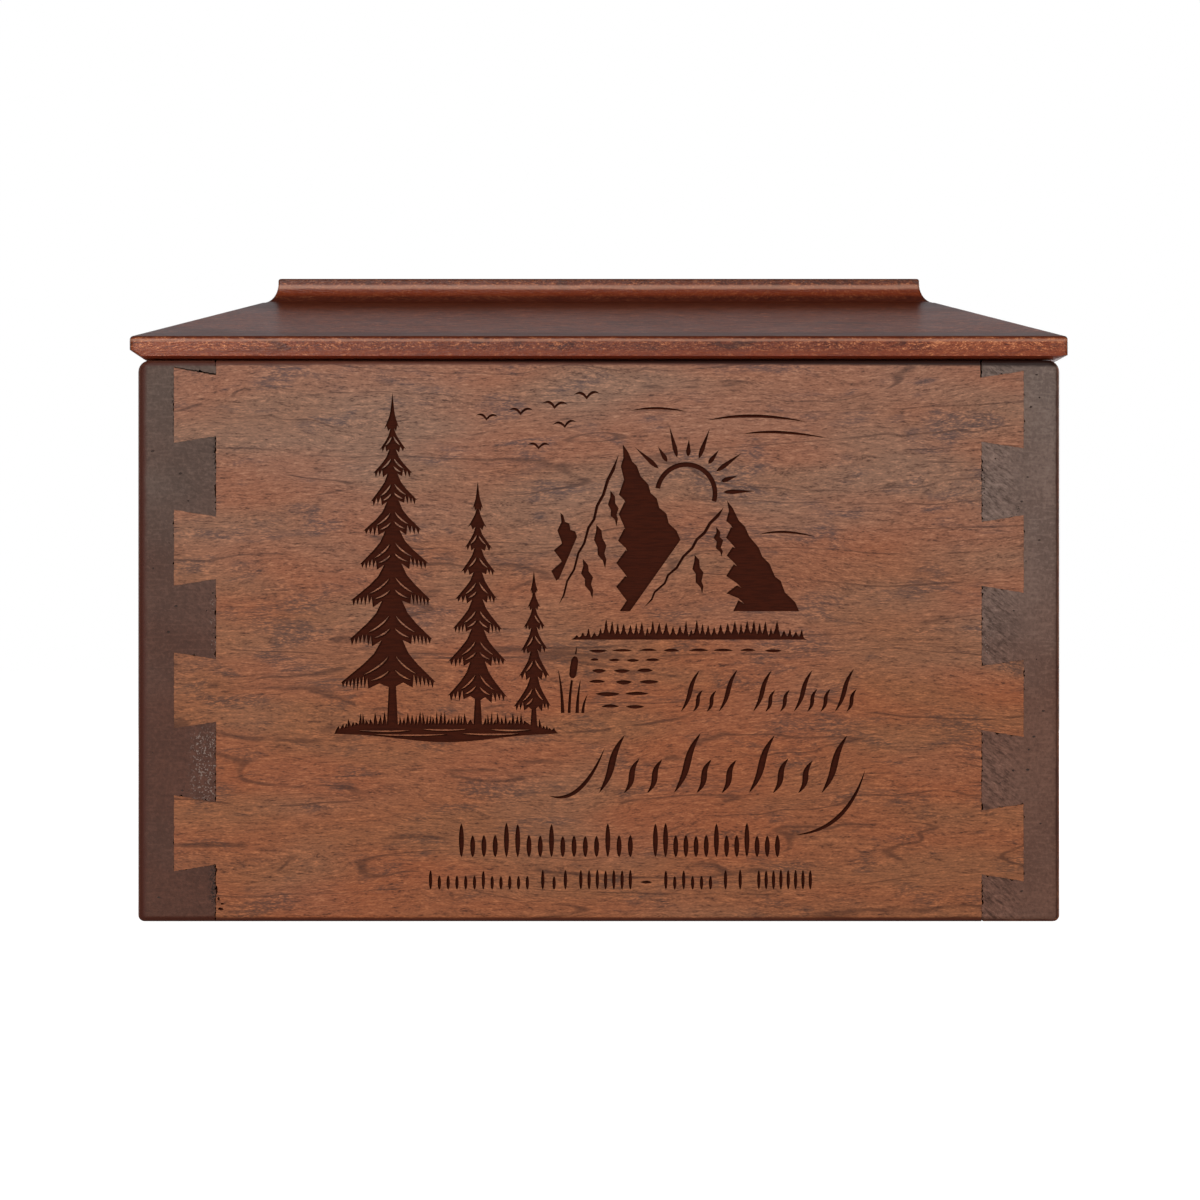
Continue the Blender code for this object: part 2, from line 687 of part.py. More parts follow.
def water(chance):
    """Level ripples in rows."""
    shapes = []
    for z, left, right, count, width in WATER:
        cell = (right - left) / count
        for k in range(count):
            start = left + cell * k + chance.uniform(0.2, 0.9)
            end = left + cell * (k + 1) - chance.uniform(0.6, 1.8)
            bend = ((start + end) / 2, z + chance.uniform(-RIPPLE_BEND, RIPPLE_BEND))
            path = bow((start, z), bend, (end, z), PLAIN_STEPS)
            shapes.append(blade(path, width * chance.uniform(0.7, 1.0)))
    return shapes


def reeds():
    """Leaves and one bulrush at the water's edge."""
    shapes = []
    for x, height, lean, width in REEDS:
        bend = (x + lean * 0.15, REED_FOOT + height * 0.6)
        tip = (x + lean, REED_FOOT + height)
        shapes.append(horn(bow((x, REED_FOOT), bend, tip, PLAIN_STEPS), width))
    x, height, lean = BULRUSH
    top = (x + lean, REED_FOOT + height)
    stalk = bow((x, REED_FOOT), (x + lean * 0.2, REED_FOOT + height * 0.55), top, PLAIN_STEPS)
    turn = math.atan2(stalk[-1][1] - stalk[-2][1], stalk[-1][0] - stalk[-2][0])
    shapes.append(ribbon(stalk, [STALK_WIDTHS[0]] * PLAIN_STEPS + [STALK_WIDTHS[1]]))
    for part in (BULRUSH_HEAD, BULRUSH_SPIKE):
        path = [(top[0] + up * math.cos(turn), top[1] + up * math.sin(turn)) for up, _ in part]
        shapes.append(ribbon(path, [width for _, width in part]))
    return shapes


def slanted_row(left, foot, low, tall, pitch, width, bend, marks, chance):
    """Slanted pen strokes, each bent like a drawn-out S."""
    lean = math.tan(math.radians(SLANT))
    shapes = []
    x = left
    for mark in marks:
        height = (tall if mark == "T" else low) * chance.uniform(0.94, 1.04)
        path = []
        for i in range(FINE_STEPS + 1):
            t = i / FINE_STEPS
            curl = bend * math.sin(2.0 * math.pi * t)
            path.append((x + height * t * lean + curl, foot + height * t))
        shapes.append(blade(path, width * (TALL_WIDTH if mark == "T" else 1.0)))
        x += pitch * chance.uniform(0.88, 1.12)
    return shapes


def upright_row(left, right, foot, low, tall, width, marks, chance):
    """Straight upright strokes in even steps."""
    pitch = (right - left - width) / (len(marks) - 1)
    shapes = []
    for k, mark in enumerate(marks):
        x = left + width / 2 + pitch * k
        height = (tall if mark == "T" else low) * chance.uniform(0.96, 1.03)
        path = [(x, foot + height * i / PLAIN_STEPS) for i in range(PLAIN_STEPS + 1)]
        shapes.append(blade(path, width, UPRIGHT_FULLNESS))
    return shapes


def scene_strokes():
    """Every outline of the lake scene."""
    shapes = [near_shore(random.Random(5)), far_shore(random.Random(3))]
    shapes.extend(mountains(random.Random(11)))
    shapes.extend(sun())
    shapes.extend(bird(*place) for place in BIRDS)
    shapes.extend(blade(bow(*ends, FINE_STEPS), width) for *ends, width in CLOUDS)
    shapes.extend(water(random.Random(8)))
    shapes.extend(reeds())
    return shapes


def row_strokes():
    """Every outline of the rows of strokes."""
    chance = random.Random(21)
    shapes = []
    for row in SLANTED_ROWS:
        shapes.extend(slanted_row(*row, chance))
    for *ends, width in FLOURISHES:
        shapes.append(blade(bow(*ends, 2 * PLAIN_STEPS), width))
    for row in UPRIGHT_ROWS:
        shapes.extend(upright_row(*row, chance))
    *ends, width = LEVEL_STROKE
    shapes.append(blade(bow(*ends, PLAIN_STEPS), width))
    return shapes


def engrave(board):
    """Cuts the picture and the rows into the outer face of the front board."""
    face = -BODY_DEPTH / 2
    outlines = scene_strokes() + row_strokes()
    cutter = prisms("engraving", outlines, face - CUT_OUT, face + CUT_DEPTH, MM)
    return combine(board, cutter, "DIFFERENCE")


def main():
    """Builds the six pieces of the box where they belong."""
    clear_scene()
    dress(engrave(build_tail_board("front_board", -1)), FRONT_WOOD)
    dress(build_tail_board("back_board", 1), BACK_WOOD)
    dress(build_end_board("left_end_board", -1), LEFT_WOOD)
    dress(build_end_board("right_end_board", 1), RIGHT_WOOD)
    dress(build_bottom_panel("bottom_panel"), PANEL_WOOD)
    dress(build_lid("lid"), LID_WOOD)


if __name__ == "__main__":
    main()
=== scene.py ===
"""Looks of a cremation urn box: stained dovetailed boards, an engraved front and a loose raised-panel lid.

Every solid of the box is made again here with its fine shape: closed joints, softly rounded edges, a moulded
lid and a detailed engraving with a burnt floor. The wood is procedural: long grain, end grain, dark rounded
edges that are partly stain and partly painted shade, and torn fibres at the joints. Painted light is laid
into
the colours as well: a warmer, darker foot for the soft reflection on the boards' upper parts, a painted
shadow under the lid, ripples of painted shade and highlight on the end grain near the joints, and level lines
of painted highlight, reflection and shade on the lid's mouldings. Sizes come from the frame's solids and from
named values, in metres. The engraving is laid out in millimetres on the front face, x to the right and z up
from the ground.
"""
from __future__ import annotations

import logging
import math
import random
from abc import ABC, abstractmethod
from collections.abc import Callable
from dataclasses import dataclass
from enum import Enum, IntEnum

import bmesh
import bpy
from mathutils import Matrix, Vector


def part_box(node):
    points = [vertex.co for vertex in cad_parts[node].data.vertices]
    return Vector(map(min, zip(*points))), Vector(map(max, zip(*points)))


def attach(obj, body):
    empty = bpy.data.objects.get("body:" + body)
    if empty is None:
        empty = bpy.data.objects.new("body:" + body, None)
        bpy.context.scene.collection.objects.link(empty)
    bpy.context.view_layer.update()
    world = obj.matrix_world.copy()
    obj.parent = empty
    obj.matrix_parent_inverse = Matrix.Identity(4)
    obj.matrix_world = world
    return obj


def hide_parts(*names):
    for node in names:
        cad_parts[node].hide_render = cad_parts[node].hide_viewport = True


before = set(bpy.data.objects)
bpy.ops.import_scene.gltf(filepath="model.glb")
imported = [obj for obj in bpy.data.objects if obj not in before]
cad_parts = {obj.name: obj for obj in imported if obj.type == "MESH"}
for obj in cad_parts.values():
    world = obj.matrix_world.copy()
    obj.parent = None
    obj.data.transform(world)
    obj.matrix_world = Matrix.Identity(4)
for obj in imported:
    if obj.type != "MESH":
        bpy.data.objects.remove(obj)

LOG = logging.getLogger("urn_box")
MM = 0.001
ROOT = "root"
ACROSS_FROM = 0.72
UPRIGHT_FROM = 0.6
SHARP_FROM = math.radians(32.0)
NORMAL_WEIGHT = 90

Point = tuple[float, float]
Outline = list[Point]
Colour = tuple[float, float, float]

WHITE: Colour = (1.0, 1.0, 1.0)


def linear(red: int, green: int, blue: int) -> Colour:
    """Turns a display colour into linear light.

    Args:
        red: Red from 0 to 255.
        green: Green from 0 to 255.
        blue: Blue from 0 to 255.

    Returns:
        The three linear values.
    """
    return tuple(((v / 255.0 + 0.055) / 1.055) ** 2.4 for v in (red, green, blue))


@dataclass(frozen=True)
class Value:
    """What a node puts out; arithmetic with it adds Math nodes to its graph."""

    graph: Graph
    socket: bpy.types.NodeSocket

    def __add__(self, other: Given) -> Value:
        """Adds."""
        return self.graph.math("ADD", self, other)

    def __sub__(self, other: Given) -> Value:
        """Subtracts."""
        return self.graph.math("SUBTRACT", self, other)

    def __rsub__(self, other: float) -> Value:
        """Subtracts this from a number."""
        return self.graph.math("SUBTRACT", other, self)

    def __mul__(self, other: Given) -> Value:
        """Multiplies."""
        return self.graph.math("MULTIPLY", self, other)

    def __truediv__(self, other: Given) -> Value:
        """Divides."""
        return self.graph.math("DIVIDE", self, other)

    def __abs__(self) -> Value:
        """Drops the sign."""
        return self.graph.math("ABSOLUTE", self)

    def parts(self) -> tuple[Value, ...]:
        """Splits a vector.

        Returns:
            Its x, y and z.
        """
        made = self.graph.node("ShaderNodeSeparateXYZ")
        self.graph.feed(made.inputs[0], self)
        return tuple(Value(self.graph, output) for output in made.outputs)

    def rise(self, low: float, high: float, top: float = 1.0) -> Value:
        """Takes a soft step.

        Args:
            low: Where the step starts at nought; it may be the larger one.
            high: Where the step ends.
            top: What the step ends at.

        Returns:
            The step's value.
        """
        given = {"Value": self, "From Min": low, "From Max": high, "To Max": top}
        return self.graph.made("ShaderNodeMapRange", given, interpolation_type="SMOOTHSTEP")


Given = Value | float | tuple[float, ...]


class Graph:
    """A node tree in the making, with short calls for the nodes that the finishes use."""

    def __init__(self, tree: bpy.types.NodeTree) -> None:
        """Takes the tree that the nodes go into."""
        self.tree = tree

    def node(self, kind: str, **settings: object) -> bpy.types.Node:
        """Adds a node.

        Args:
            kind: The node's type.
            settings: Properties to set on it.

        Returns:
            The new node.
        """
        added = self.tree.nodes.new(kind)
        for name, setting in settings.items():
            setattr(added, name, setting)
        return added

    def feed(self, socket: bpy.types.NodeSocket, given: Given) -> None:
        """Links a value to a socket, or sets what the socket holds.

        Args:
            socket: The socket that is fed.
            given: The value, or a plain number, vector or colour.
        """
        if isinstance(given, Value):
            self.tree.links.new(given.socket, socket)
        else:
            socket.default_value = (*given, 1.0) if socket.type == "RGBA" else given

    def made(
        self, kind: str, given: dict[int | str, Given], output: int | str = 0, **settings: object,
    ) -> Value:
        """Adds a node and feeds it.

        Args:
            kind: The node's type.
            given: What its inputs are given, by place or name.
            output: Which output is wanted, by place or name.
            settings: Properties to set on the node.

        Returns:
            The output's value.
        """
        added = self.node(kind, **settings)
        for key, put in given.items():
            self.feed(added.inputs[key], put)
        return Value(self, added.outputs[output])

    def math(self, operation: str, *given: Given, clamp: bool = False) -> Value:
        """Adds a Math node.

        Args:
            operation: What it does.
            given: What its inputs are given, in their order.
            clamp: Whether the result stays between 0 and 1.

        Returns:
            Its result.
        """
        return self.made("ShaderNodeMath", dict(enumerate(given)), operation=operation, use_clamp=clamp)

    def vector(self, operation: str, *given: Given) -> Value:
        """Adds a Vector Math node, given its operation and its inputs in their order."""
        return self.made("ShaderNodeVectorMath", dict(enumerate(given)), operation=operation)

    def joined(self, *given: Given) -> Value:
        """Joins x, y and z into a vector."""
        return self.made("ShaderNodeCombineXYZ", dict(enumerate(given)))

    def noise(
        self, place: Value, stretch: tuple[float, float, float], detail: float = 2.0, roughness: float = 0.5,
        distortion: float = 0.0,
    ) -> Value:
        """Adds noise, stretched along the axes.

        Args:
            place: Where it is read, in millimetres.
            stretch: Its features to the millimetre along each axis.
            detail: How many finer layers it has.
            roughness: How strong these are.
            distortion: How much it is twisted.

        Returns:
            Its value, about a half on average.
        """
        given = {"Vector": self.vector("MULTIPLY", place, stretch), "Scale": 1.0}
        given |= {"Detail": detail, "Roughness": roughness, "Distortion": distortion}
        return self.made("ShaderNodeTexNoise", given, noise_dimensions="3D")

    def mix(self, factor: Given, first: Given, second: Given, blend: str = "MIX") -> Value:
        """Mixes two colours.

        Args:
            factor: How much of the second there is.
            first: The first colour.
            second: The second colour.
            blend: How they blend.

        Returns:
            The mixed colour.
        """
        given = {0: factor, 6: first, 7: second}
        return self.made("ShaderNodeMix", given, 2, data_type="RGBA", blend_type=blend)


class Kind(Enum):
    """What a group's socket carries."""

    VECTOR = "NodeSocketVector"
    COLOUR = "NodeSocketColor"
    NUMBER = "NodeSocketFloat"


class Group(Graph):
    """A node group with named inputs and one named output."""

    def __init__(self, name: str, inputs: dict[str, Kind], output: tuple[str, Kind]) -> None:
        """Makes the group's tree and its sockets.

        Args:
            name: The group's name.
            inputs: Each input's name and kind.
            output: The output's name and kind.
        """
        super().__init__(bpy.data.node_groups.new(name, "ShaderNodeTree"))
        sides = [(*item, "INPUT") for item in inputs.items()] + [(*output, "OUTPUT")]
        for label, kind, side in sides:
            self.tree.interface.new_socket(label, in_out=side, socket_type=kind.value)
        outputs = self.node("NodeGroupInput").outputs
        self.given = {label: Value(self, outputs[label]) for label in inputs}
        self.result = self.node("NodeGroupOutput").inputs[0]

    def use(self, graph: Graph, **given: Given) -> Value:
        """Places the group in a material.

        Args:
            graph: The material's graph.
            given: What its inputs are given, by name, with underscores for spaces.

        Returns:
            What it puts out.
        """
        named = {name.replace("_", " "): put for name, put in given.items()}
        return graph.made("ShaderNodeGroup", named, node_tree=self.tree)


def long_grain_group() -> Group:
    """Makes the look of stained wood along its fibres.

    Returns:
        The group: x of Place runs along the fibres, in millimetres.
    """
    colours = dict.fromkeys(("Body", "Pale", "Dark", "Light", "Smoke", "Ring"), Kind.COLOUR)
    amounts = dict.fromkeys(("Flecks", "Clouds", "Rings"), Kind.NUMBER)
    group = Group("long_grain", {"Place": Kind.VECTOR, **colours, **amounts}, ("Colour", Kind.COLOUR))
    given = group.given
    sway = group.noise(given["Place"], (0.013, 0.045, 0.045), 1.0)
    ripple = group.noise(given["Place"], (0.11, 0.3, 0.3), 0.0)
    shift = sway * 13.0 + ripple * 1.3
    place = group.vector("ADD", given["Place"], group.joined(0.0, shift, shift))
    fibres = group.noise(place, (0.8, 3.8, 3.8), 1.0, 1.0)
    strands = group.noise(place, (0.22, 1.5, 1.5), 1.0, 0.8)
    tone = fibres * 0.55 + strands * 0.45
    broad = group.noise(given["Place"], (0.02, 0.07, 0.07), 1.0)
    cloud = group.noise(place, (0.06, 0.16, 0.16), 2.0, 0.6, 0.3)
    field = group.noise(place, (0.0055, 0.075, 0.075), 1.0, 0.4)
    thread = abs(group.math("FRACT", field * 7.0) - 0.5).rise(0.06, 0.01) * cloud.rise(0.4, 0.52)
    hairs = abs(group.noise(place, (0.022, 0.46, 0.46), 0.0) - 0.5)
    hair = hairs.rise(0.03, 0.0, 0.6) * fibres.rise(0.38, 0.52)
    colour = group.mix(broad.rise(0.35, 0.65), given["Body"], given["Pale"])
    colour = group.mix(tone.rise(0.5, 0.28) * given["Flecks"], colour, given["Light"])
    colour = group.mix(tone.rise(0.5, 0.72) * given["Flecks"], colour, given["Dark"])
    smoke = cloud.rise(0.5, 0.7) * given["Clouds"] * tone.rise(0.4, 0.56)
    colour = group.mix(smoke, colour, given["Smoke"])
    ring = group.math("MAXIMUM", thread, hair) * given["Rings"]
    group.feed(group.result, group.mix(ring, colour, given["Ring"]))
    return group


def end_grain_group() -> Group:
    """Makes the look of stained wood across its fibres.

    Returns:
        The group: Place is in millimetres.
    """
    colours = dict.fromkeys(("Body", "Dark", "Light"), Kind.COLOUR)
    inputs = {"Place": Kind.VECTOR, **colours, "Scales": Kind.NUMBER}
    group = Group("end_grain", inputs, ("Colour", Kind.COLOUR))
    given = group.given
    grain = group.noise(given["Place"], (1.1, 1.1, 1.1), 2.0, 0.8)
    scratch = group.noise(given["Place"], (0.3, 1.6, 1.6), 0.0)
    broad = group.noise(given["Place"], (0.06, 0.06, 0.06), 1.0)
    colour = group.mix(broad.rise(0.35, 0.65, 0.5), given["Body"], given["Dark"])
    colour = group.mix(grain.rise(0.5, 0.7, 0.7), colour, given["Dark"])
    colour = group.mix(grain.rise(0.5, 0.32, 0.5), colour, given["Light"])
    colour = group.mix(scratch.rise(0.56, 0.7, 0.35), colour, given["Light"])
    x, y, z = given["Place"].parts()
    # The scales: diagonal ripples of the sawn ends near the joints, drawn only in the colour, as painted
    # shade where darker and painted highlight where lighter.
    scales = group.noise(group.joined(x * 0.8 - z * 0.6, y, x * 0.6 + z * 0.8), (0.5, 1.0, 1.8), 2.0, 0.7)
    amount = abs(x).rise(109.0, 99.0) * given["Scales"]
    colour = group.mix(scales.rise(0.5, 0.66) * amount, colour, (0.55, 0.52, 0.5), "MULTIPLY")
    colour = group.mix(scales.rise(0.48, 0.32) * amount, colour, (1.4, 1.4, 1.4), "MULTIPLY")
    group.feed(group.result, colour)
    return group


def rim_group() -> Group:
    """Makes a mask of the rounded outer edges of a block that stands on the ground.

    Returns:
        The group: Place and the block's sizes are in millimetres.
    """
    sizes = dict.fromkeys(("Half Width", "Half Depth", "Height", "Reach"), Kind.NUMBER)
    group = Group("rim", {"Place": Kind.VECTOR, **sizes}, ("Mask", Kind.NUMBER))
    given = group.given
    x, y, z = given["Place"].parts()
    wobble = group.noise(given["Place"], (0.25, 0.25, 0.25), 1.0) * 0.6
    to_end = group.math("MINIMUM", z * 1.7, (given["Height"] - z) * 1.5)
    distances = (given["Half Width"] - abs(x), given["Half Depth"] - abs(y), to_end)
    near = [((distance + wobble) / given["Reach"]).rise(1.25, 0.75) for distance in distances]
    mask = group.math("MAXIMUM", near[0] * near[1], near[1] * near[2])
    group.feed(group.result, group.math("MAXIMUM", mask, near[0] * near[2]))
    return group


def relief_group() -> Group:
    """Makes the fine relief of wood fibres.

    Returns:
        The group: x of Place runs along the fibres, in millimetres.
    """
    group = Group("relief", {"Place": Kind.VECTOR}, ("Height", Kind.NUMBER))
    group.feed(group.result, group.noise(group.given["Place"], (0.25, 3.2, 3.2), 2.0, 0.6))
    return group


@dataclass(frozen=True)
class Groups:
    """The shader node groups that the finishes share."""

    long_grain: Group
    end_grain: Group
    rim: Group
    relief: Group

    @classmethod
    def made(cls) -> Groups:
        """Makes each group once."""
        return cls(long_grain_group(), end_grain_group(), rim_group(), relief_group())


class Grain(Enum):
    """Which way a board's fibres run: the object axes taken as along, across and through."""

    ALONG_X = (0, 2, 1)
    ALONG_Y = (1, 2, 0)


@dataclass(frozen=True)
class Gloss:
    """How a finish shines."""

    roughness: float = 0.5
    spread: float = 0.12
    level: float = 0.15
    coat: float = 0.0
    coat_roughness: float = 0.25
    bump: float = 0.5
    bump_depth: float = 0.1 * MM


@dataclass(frozen=True)
class Ground:
    """What a finish works on: a material's graph, the groups, and the place on the box and in the wood.

    Both places are in millimetres, and x of the one in the wood runs along the fibres.
    """

    graph: Graph
    groups: Groups
    place: Value
    in_wood: Value


@dataclass(frozen=True)
class Finish(ABC):
    """A finish of stained wood."""

    name: str
    grain: Grain = Grain.ALONG_X
    gloss: Gloss = Gloss()
    shift: tuple[float, float, float] = (0.0, 0.0, 0.0)
    shortening: float = 1.0

    @abstractmethod
    def colour(self, ground: Ground) -> Value:
        """Makes the finish's colour."""

    def inputs(self, *fields: str) -> dict[str, Given]:
        """Returns some of its fields under the names of a group's inputs."""
        return {field.title(): getattr(self, field) for field in fields}

    def material(self, groups: Groups) -> bpy.types.Material:
        """Makes the material.

        Args:
            groups: The shared node groups.

        Returns:
            The material.
        """
        made = bpy.data.materials.new(self.name)
        made.use_nodes = True
        graph = Graph(made.node_tree)
        gloss = self.gloss
        given = graph.made("ShaderNodeTexCoord", {}, "Object")
        place = graph.vector("MULTIPLY", given, (1.0 / MM,) * 3)
        axes = place.parts()
        along = graph.joined(*(axes[i] for i in self.grain.value))
        in_wood = graph.vector("MULTIPLY_ADD", along, (self.shortening, 1.0, 1.0), self.shift)
        patchy = graph.noise(in_wood, (0.07, 0.3, 0.3), 1.0) * gloss.spread
        relief = groups.relief.use(graph, Place=in_wood)
        bump = {"Strength": gloss.bump, "Distance": gloss.bump_depth, "Height": relief}
        looks = {
            "Base Color": self.colour(Ground(graph, groups, place, in_wood)),
            "Roughness": patchy + (gloss.roughness - gloss.spread / 2),
            "Specular IOR Level": gloss.level,
            "Coat Weight": gloss.coat,
            "Coat Roughness": gloss.coat_roughness,
            "Normal": graph.made("ShaderNodeBump", bump),
        }
        for name, look in looks.items():
            graph.feed(made.node_tree.nodes["Principled BSDF"].inputs[name], look)
        return made


@dataclass(frozen=True)
class LongGrain(Finish):
    """Stained wood along its fibres."""

    body: Colour = linear(144, 96, 74)
    pale: Colour = linear(136, 101, 82)
    dark: Colour = linear(70, 44, 36)
    light: Colour = linear(180, 131, 104)
    smoke: Colour = linear(82, 68, 69)
    ring: Colour = linear(66, 44, 38)
    flecks: float = 0.9
    clouds: float = 0.65
    rings: float = 0.6

    def colour(self, ground: Ground) -> Value:
        """Makes the figured wood's colour."""
        given = self.inputs("body", "pale", "dark", "light", "smoke", "ring", "flecks", "clouds", "rings")
        return ground.groups.long_grain.use(ground.graph, Place=ground.in_wood, **given)


@dataclass(frozen=True)
class EndGrain(Finish):
    """Stained wood across its fibres."""

    body: Colour = linear(84, 50, 38)
    dark: Colour = linear(66, 38, 28)
    light: Colour = linear(106, 68, 54)
    scales: float = 0.0

    def colour(self, ground: Ground) -> Value:
        """Makes the mottled wood's colour."""
        given = self.inputs("body", "dark", "light", "scales")
        return ground.groups.end_grain.use(ground.graph, Place=ground.place, **given)


@dataclass(frozen=True)
class BoardFinish(Finish):
    """What the boards of the body share: a warmer, darker foot that is painted light, dark rounded edges that
    are partly painted shade, and a painted shadow under the lid.
    """

    half_width: float = 115.0
    half_depth: float = 87.5
    height: float = 140.0
    painted_falloff_tint: Colour = (1.0, 0.7, 0.46)
    painted_falloff_low: float = 40.0
    painted_falloff_high: float = 142.0
    rim: Colour = linear(80, 38, 26)
    rim_reach: float = 2.0
    rim_amount: float = 0.9
    lid_shadow: Colour = linear(30, 12, 8)
    lid_shadow_foot: float = 138.95
    lid_shadow_soft: float = 0.8
    lid_shadow_amount: float = 0.92
    lid_shadow_slant: float = 0.0075
    lid_shadow_edge: tuple[float, float] = (1.5, 0.8)
    patch_amount: float = 0.9
    patch_level: float = 0.45

    def with_rims_and_painted_light(self, ground: Ground, colour: Value) -> Value:
        """Warms and darkens the wood towards the foot in soft patches, as painted light for the soft
        reflection on the upper parts; darkens the rims, partly as stain and partly as painted shade; and
        paints the lid's shadow as a dark line under it.

        Args:
            ground: What the finish works on.
            colour: The wood's colour.

        Returns:
            The changed colour.
        """
        graph = ground.graph
        x, y, z = ground.place.parts()
        # Painted light: the wood turns warmer and darker towards the foot, in soft patches. This stands in
        # for the soft reflection that greys the boards' upper parts.
        patch = graph.noise(ground.place, (0.025, 0.06, 0.06), 1.0) * self.patch_amount
        depth = z.rise(self.painted_falloff_high, self.painted_falloff_low)
        amount = graph.math("SUBTRACT", depth + patch, self.patch_level, clamp=True)
        colour = graph.mix(amount, colour, self.painted_falloff_tint, "MULTIPLY")
        # The rims: partly stain soaked into the rounded edges, partly painted shade and dark reflection.
        block = self.inputs("half_width", "half_depth", "height")
        mask = ground.groups.rim.use(graph, Place=ground.place, Reach=self.rim_reach, **block)
        colour = graph.mix(mask * self.rim_amount, colour, self.rim)
        # Painted shadow: the dark line that the lid's overhang casts along the top of the front, deeper
        # towards the right.
        level = x * self.lid_shadow_slant + z
        shaded = level.rise(self.lid_shadow_foot, self.lid_shadow_foot + self.lid_shadow_soft, self.lid_shadow_amount)
        on_front = y.rise(*(inset - self.half_depth for inset in self.lid_shadow_edge))
        return graph.mix(shaded * on_front, colour, self.lid_shadow)


@dataclass(frozen=True)
class BoardLongGrain(BoardFinish, LongGrain):
    """A board's finish along its fibres."""

    def colour(self, ground: Ground) -> Value:
        """Makes the figured wood's colour with its dark edges and painted light."""
        return self.with_rims_and_painted_light(ground, LongGrain.colour(self, ground))


@dataclass(frozen=True)
class Tear:
    """A patch of torn or dusty fibres: its middle and half its size on the face, in millimetres."""

    x: float
    z: float
    half_x: float
    half_z: float
    colour: Colour
    cover: float

    def over(self, ground: Ground, colour: Value, crumbs: Value) -> Value:
        """Lays the patch over a colour.

        Args:
            ground: What the finish works on.
            colour: The wood's colour.
            crumbs: Fine noise that says where the crumbs are.

        Returns:
            The changed colour.
        """
        x, _, z = ground.place.parts()
        near_x = abs(x - self.x).rise(self.half_x, self.half_x * 0.3)
        near_z = abs(z - self.z).rise(self.half_z, self.half_z * 0.5)
        crumb = (1.0 - self.cover - crumbs).rise(0.0, -0.05)
        return ground.graph.mix(near_x * near_z * crumb, colour, self.colour)


@dataclass(frozen=True)
class BoardEndGrain(BoardFinish, EndGrain):
    """An end board's finish across its fibres, with its tears."""

    # Painted light: the end grain's warmer, darker foot.
    painted_falloff_tint: Colour = (0.84, 0.5, 0.4)
    tears: tuple[Tear, ...] = ()
    tear_grain: float = 2.6

    def colour(self, ground: Ground) -> Value:
        """Makes the colour.

        Args:
            ground: What the finish works on.

        Returns:
            The mottled wood's colour with its dark edges, painted light and tears.
        """
        colour = self.with_rims_and_painted_light(ground, EndGrain.colour(self, ground))
        crumbs = ground.graph.noise(ground.place, (self.tear_grain,) * 3, 1.0, 0.6)
        for tear in self.tears:
            colour = tear.over(ground, colour, crumbs)
        return colour


@dataclass(frozen=True)
class PaintedBand:
    """A soft level line of painted light on the lid: its height and half its width in millimetres, its colour
    and strength.
    """

    height: float
    half: float
    colour: Colour
    amount: float
    soft: float = 0.6


@dataclass(frozen=True)
class LidFinish(Finish):
    """What the lid's finishes share: level lines of painted highlight, reflection and shade along its
    mouldings.
    """

    painted_bands: tuple[PaintedBand, ...] = ()

    def with_painted_bands(self, ground: Ground, colour: Value) -> Value:
        """Lays the lines of painted light over a colour.

        Args:
            ground: What the finish works on.
            colour: The wood's colour.

        Returns:
            The changed colour.
        """
        uneven = ground.graph.noise(ground.place, (0.12, 0.3, 0.5), 2.0, 0.6) * 0.5
        level = ground.place.parts()[2] - 0.25 + uneven
        for band in self.painted_bands:
            edges = (band.half * (1.0 + band.soft), band.half * (1.0 - band.soft))
            mask = abs(level - band.height).rise(*edges, band.amount)
            colour = ground.graph.mix(mask, colour, band.colour)
        return colour


@dataclass(frozen=True)
class LidLongGrain(LidFinish, LongGrain):
    """The lid's finish along its fibres, lighter and paler towards the ends of its lower edge."""

    end_lift: Colour = WHITE
    end_lift_from: float = 40.0
    end_lift_to: float = 105.0
    end_lift_below: float = 146.6
    end_lift_soft: float = 0.5

    def colour(self, ground: Ground) -> Value:
        """Makes the colour.

        Args:
            ground: What the finish works on.

        Returns:
            The figured wood's colour with its lines of painted light.
        """
        x, _, z = ground.place.parts()
        to_ends = abs(x).rise(self.end_lift_from, self.end_lift_to)
        on_edge = z.rise(self.end_lift_below + self.end_lift_soft, self.end_lift_below - self.end_lift_soft)
        colour = LongGrain.colour(self, ground)
        return self.with_painted_bands(ground, ground.graph.mix(to_ends * on_edge, colour, self.end_lift, "MULTIPLY"))


@dataclass(frozen=True)
class LidEndGrain(LidFinish, EndGrain):
    """The lid's finish across its fibres."""

    def colour(self, ground: Ground) -> Value:
        """Makes the mottled wood's colour with its lines of painted light."""
        return self.with_painted_bands(ground, EndGrain.colour(self, ground))


@dataclass(frozen=True)
class BurntCut(Finish):
    """The finish of the engraving's floor and walls: dull, dark, the fibres still faintly in it."""

    body: Colour = linear(62, 24, 12)
    dark: Colour = linear(53, 20, 10)

    def colour(self, ground: Ground) -> Value:
        """Makes the burnt colour."""
        fibres = ground.graph.noise(ground.in_wood, (0.25, 2.2, 2.2), 2.0, 0.6)
        return ground.graph.mix(fibres.rise(0.4, 0.65), self.body, self.dark)


TORN: Colour = linear(44, 29, 23)
DUST: Colour = linear(128, 108, 98)

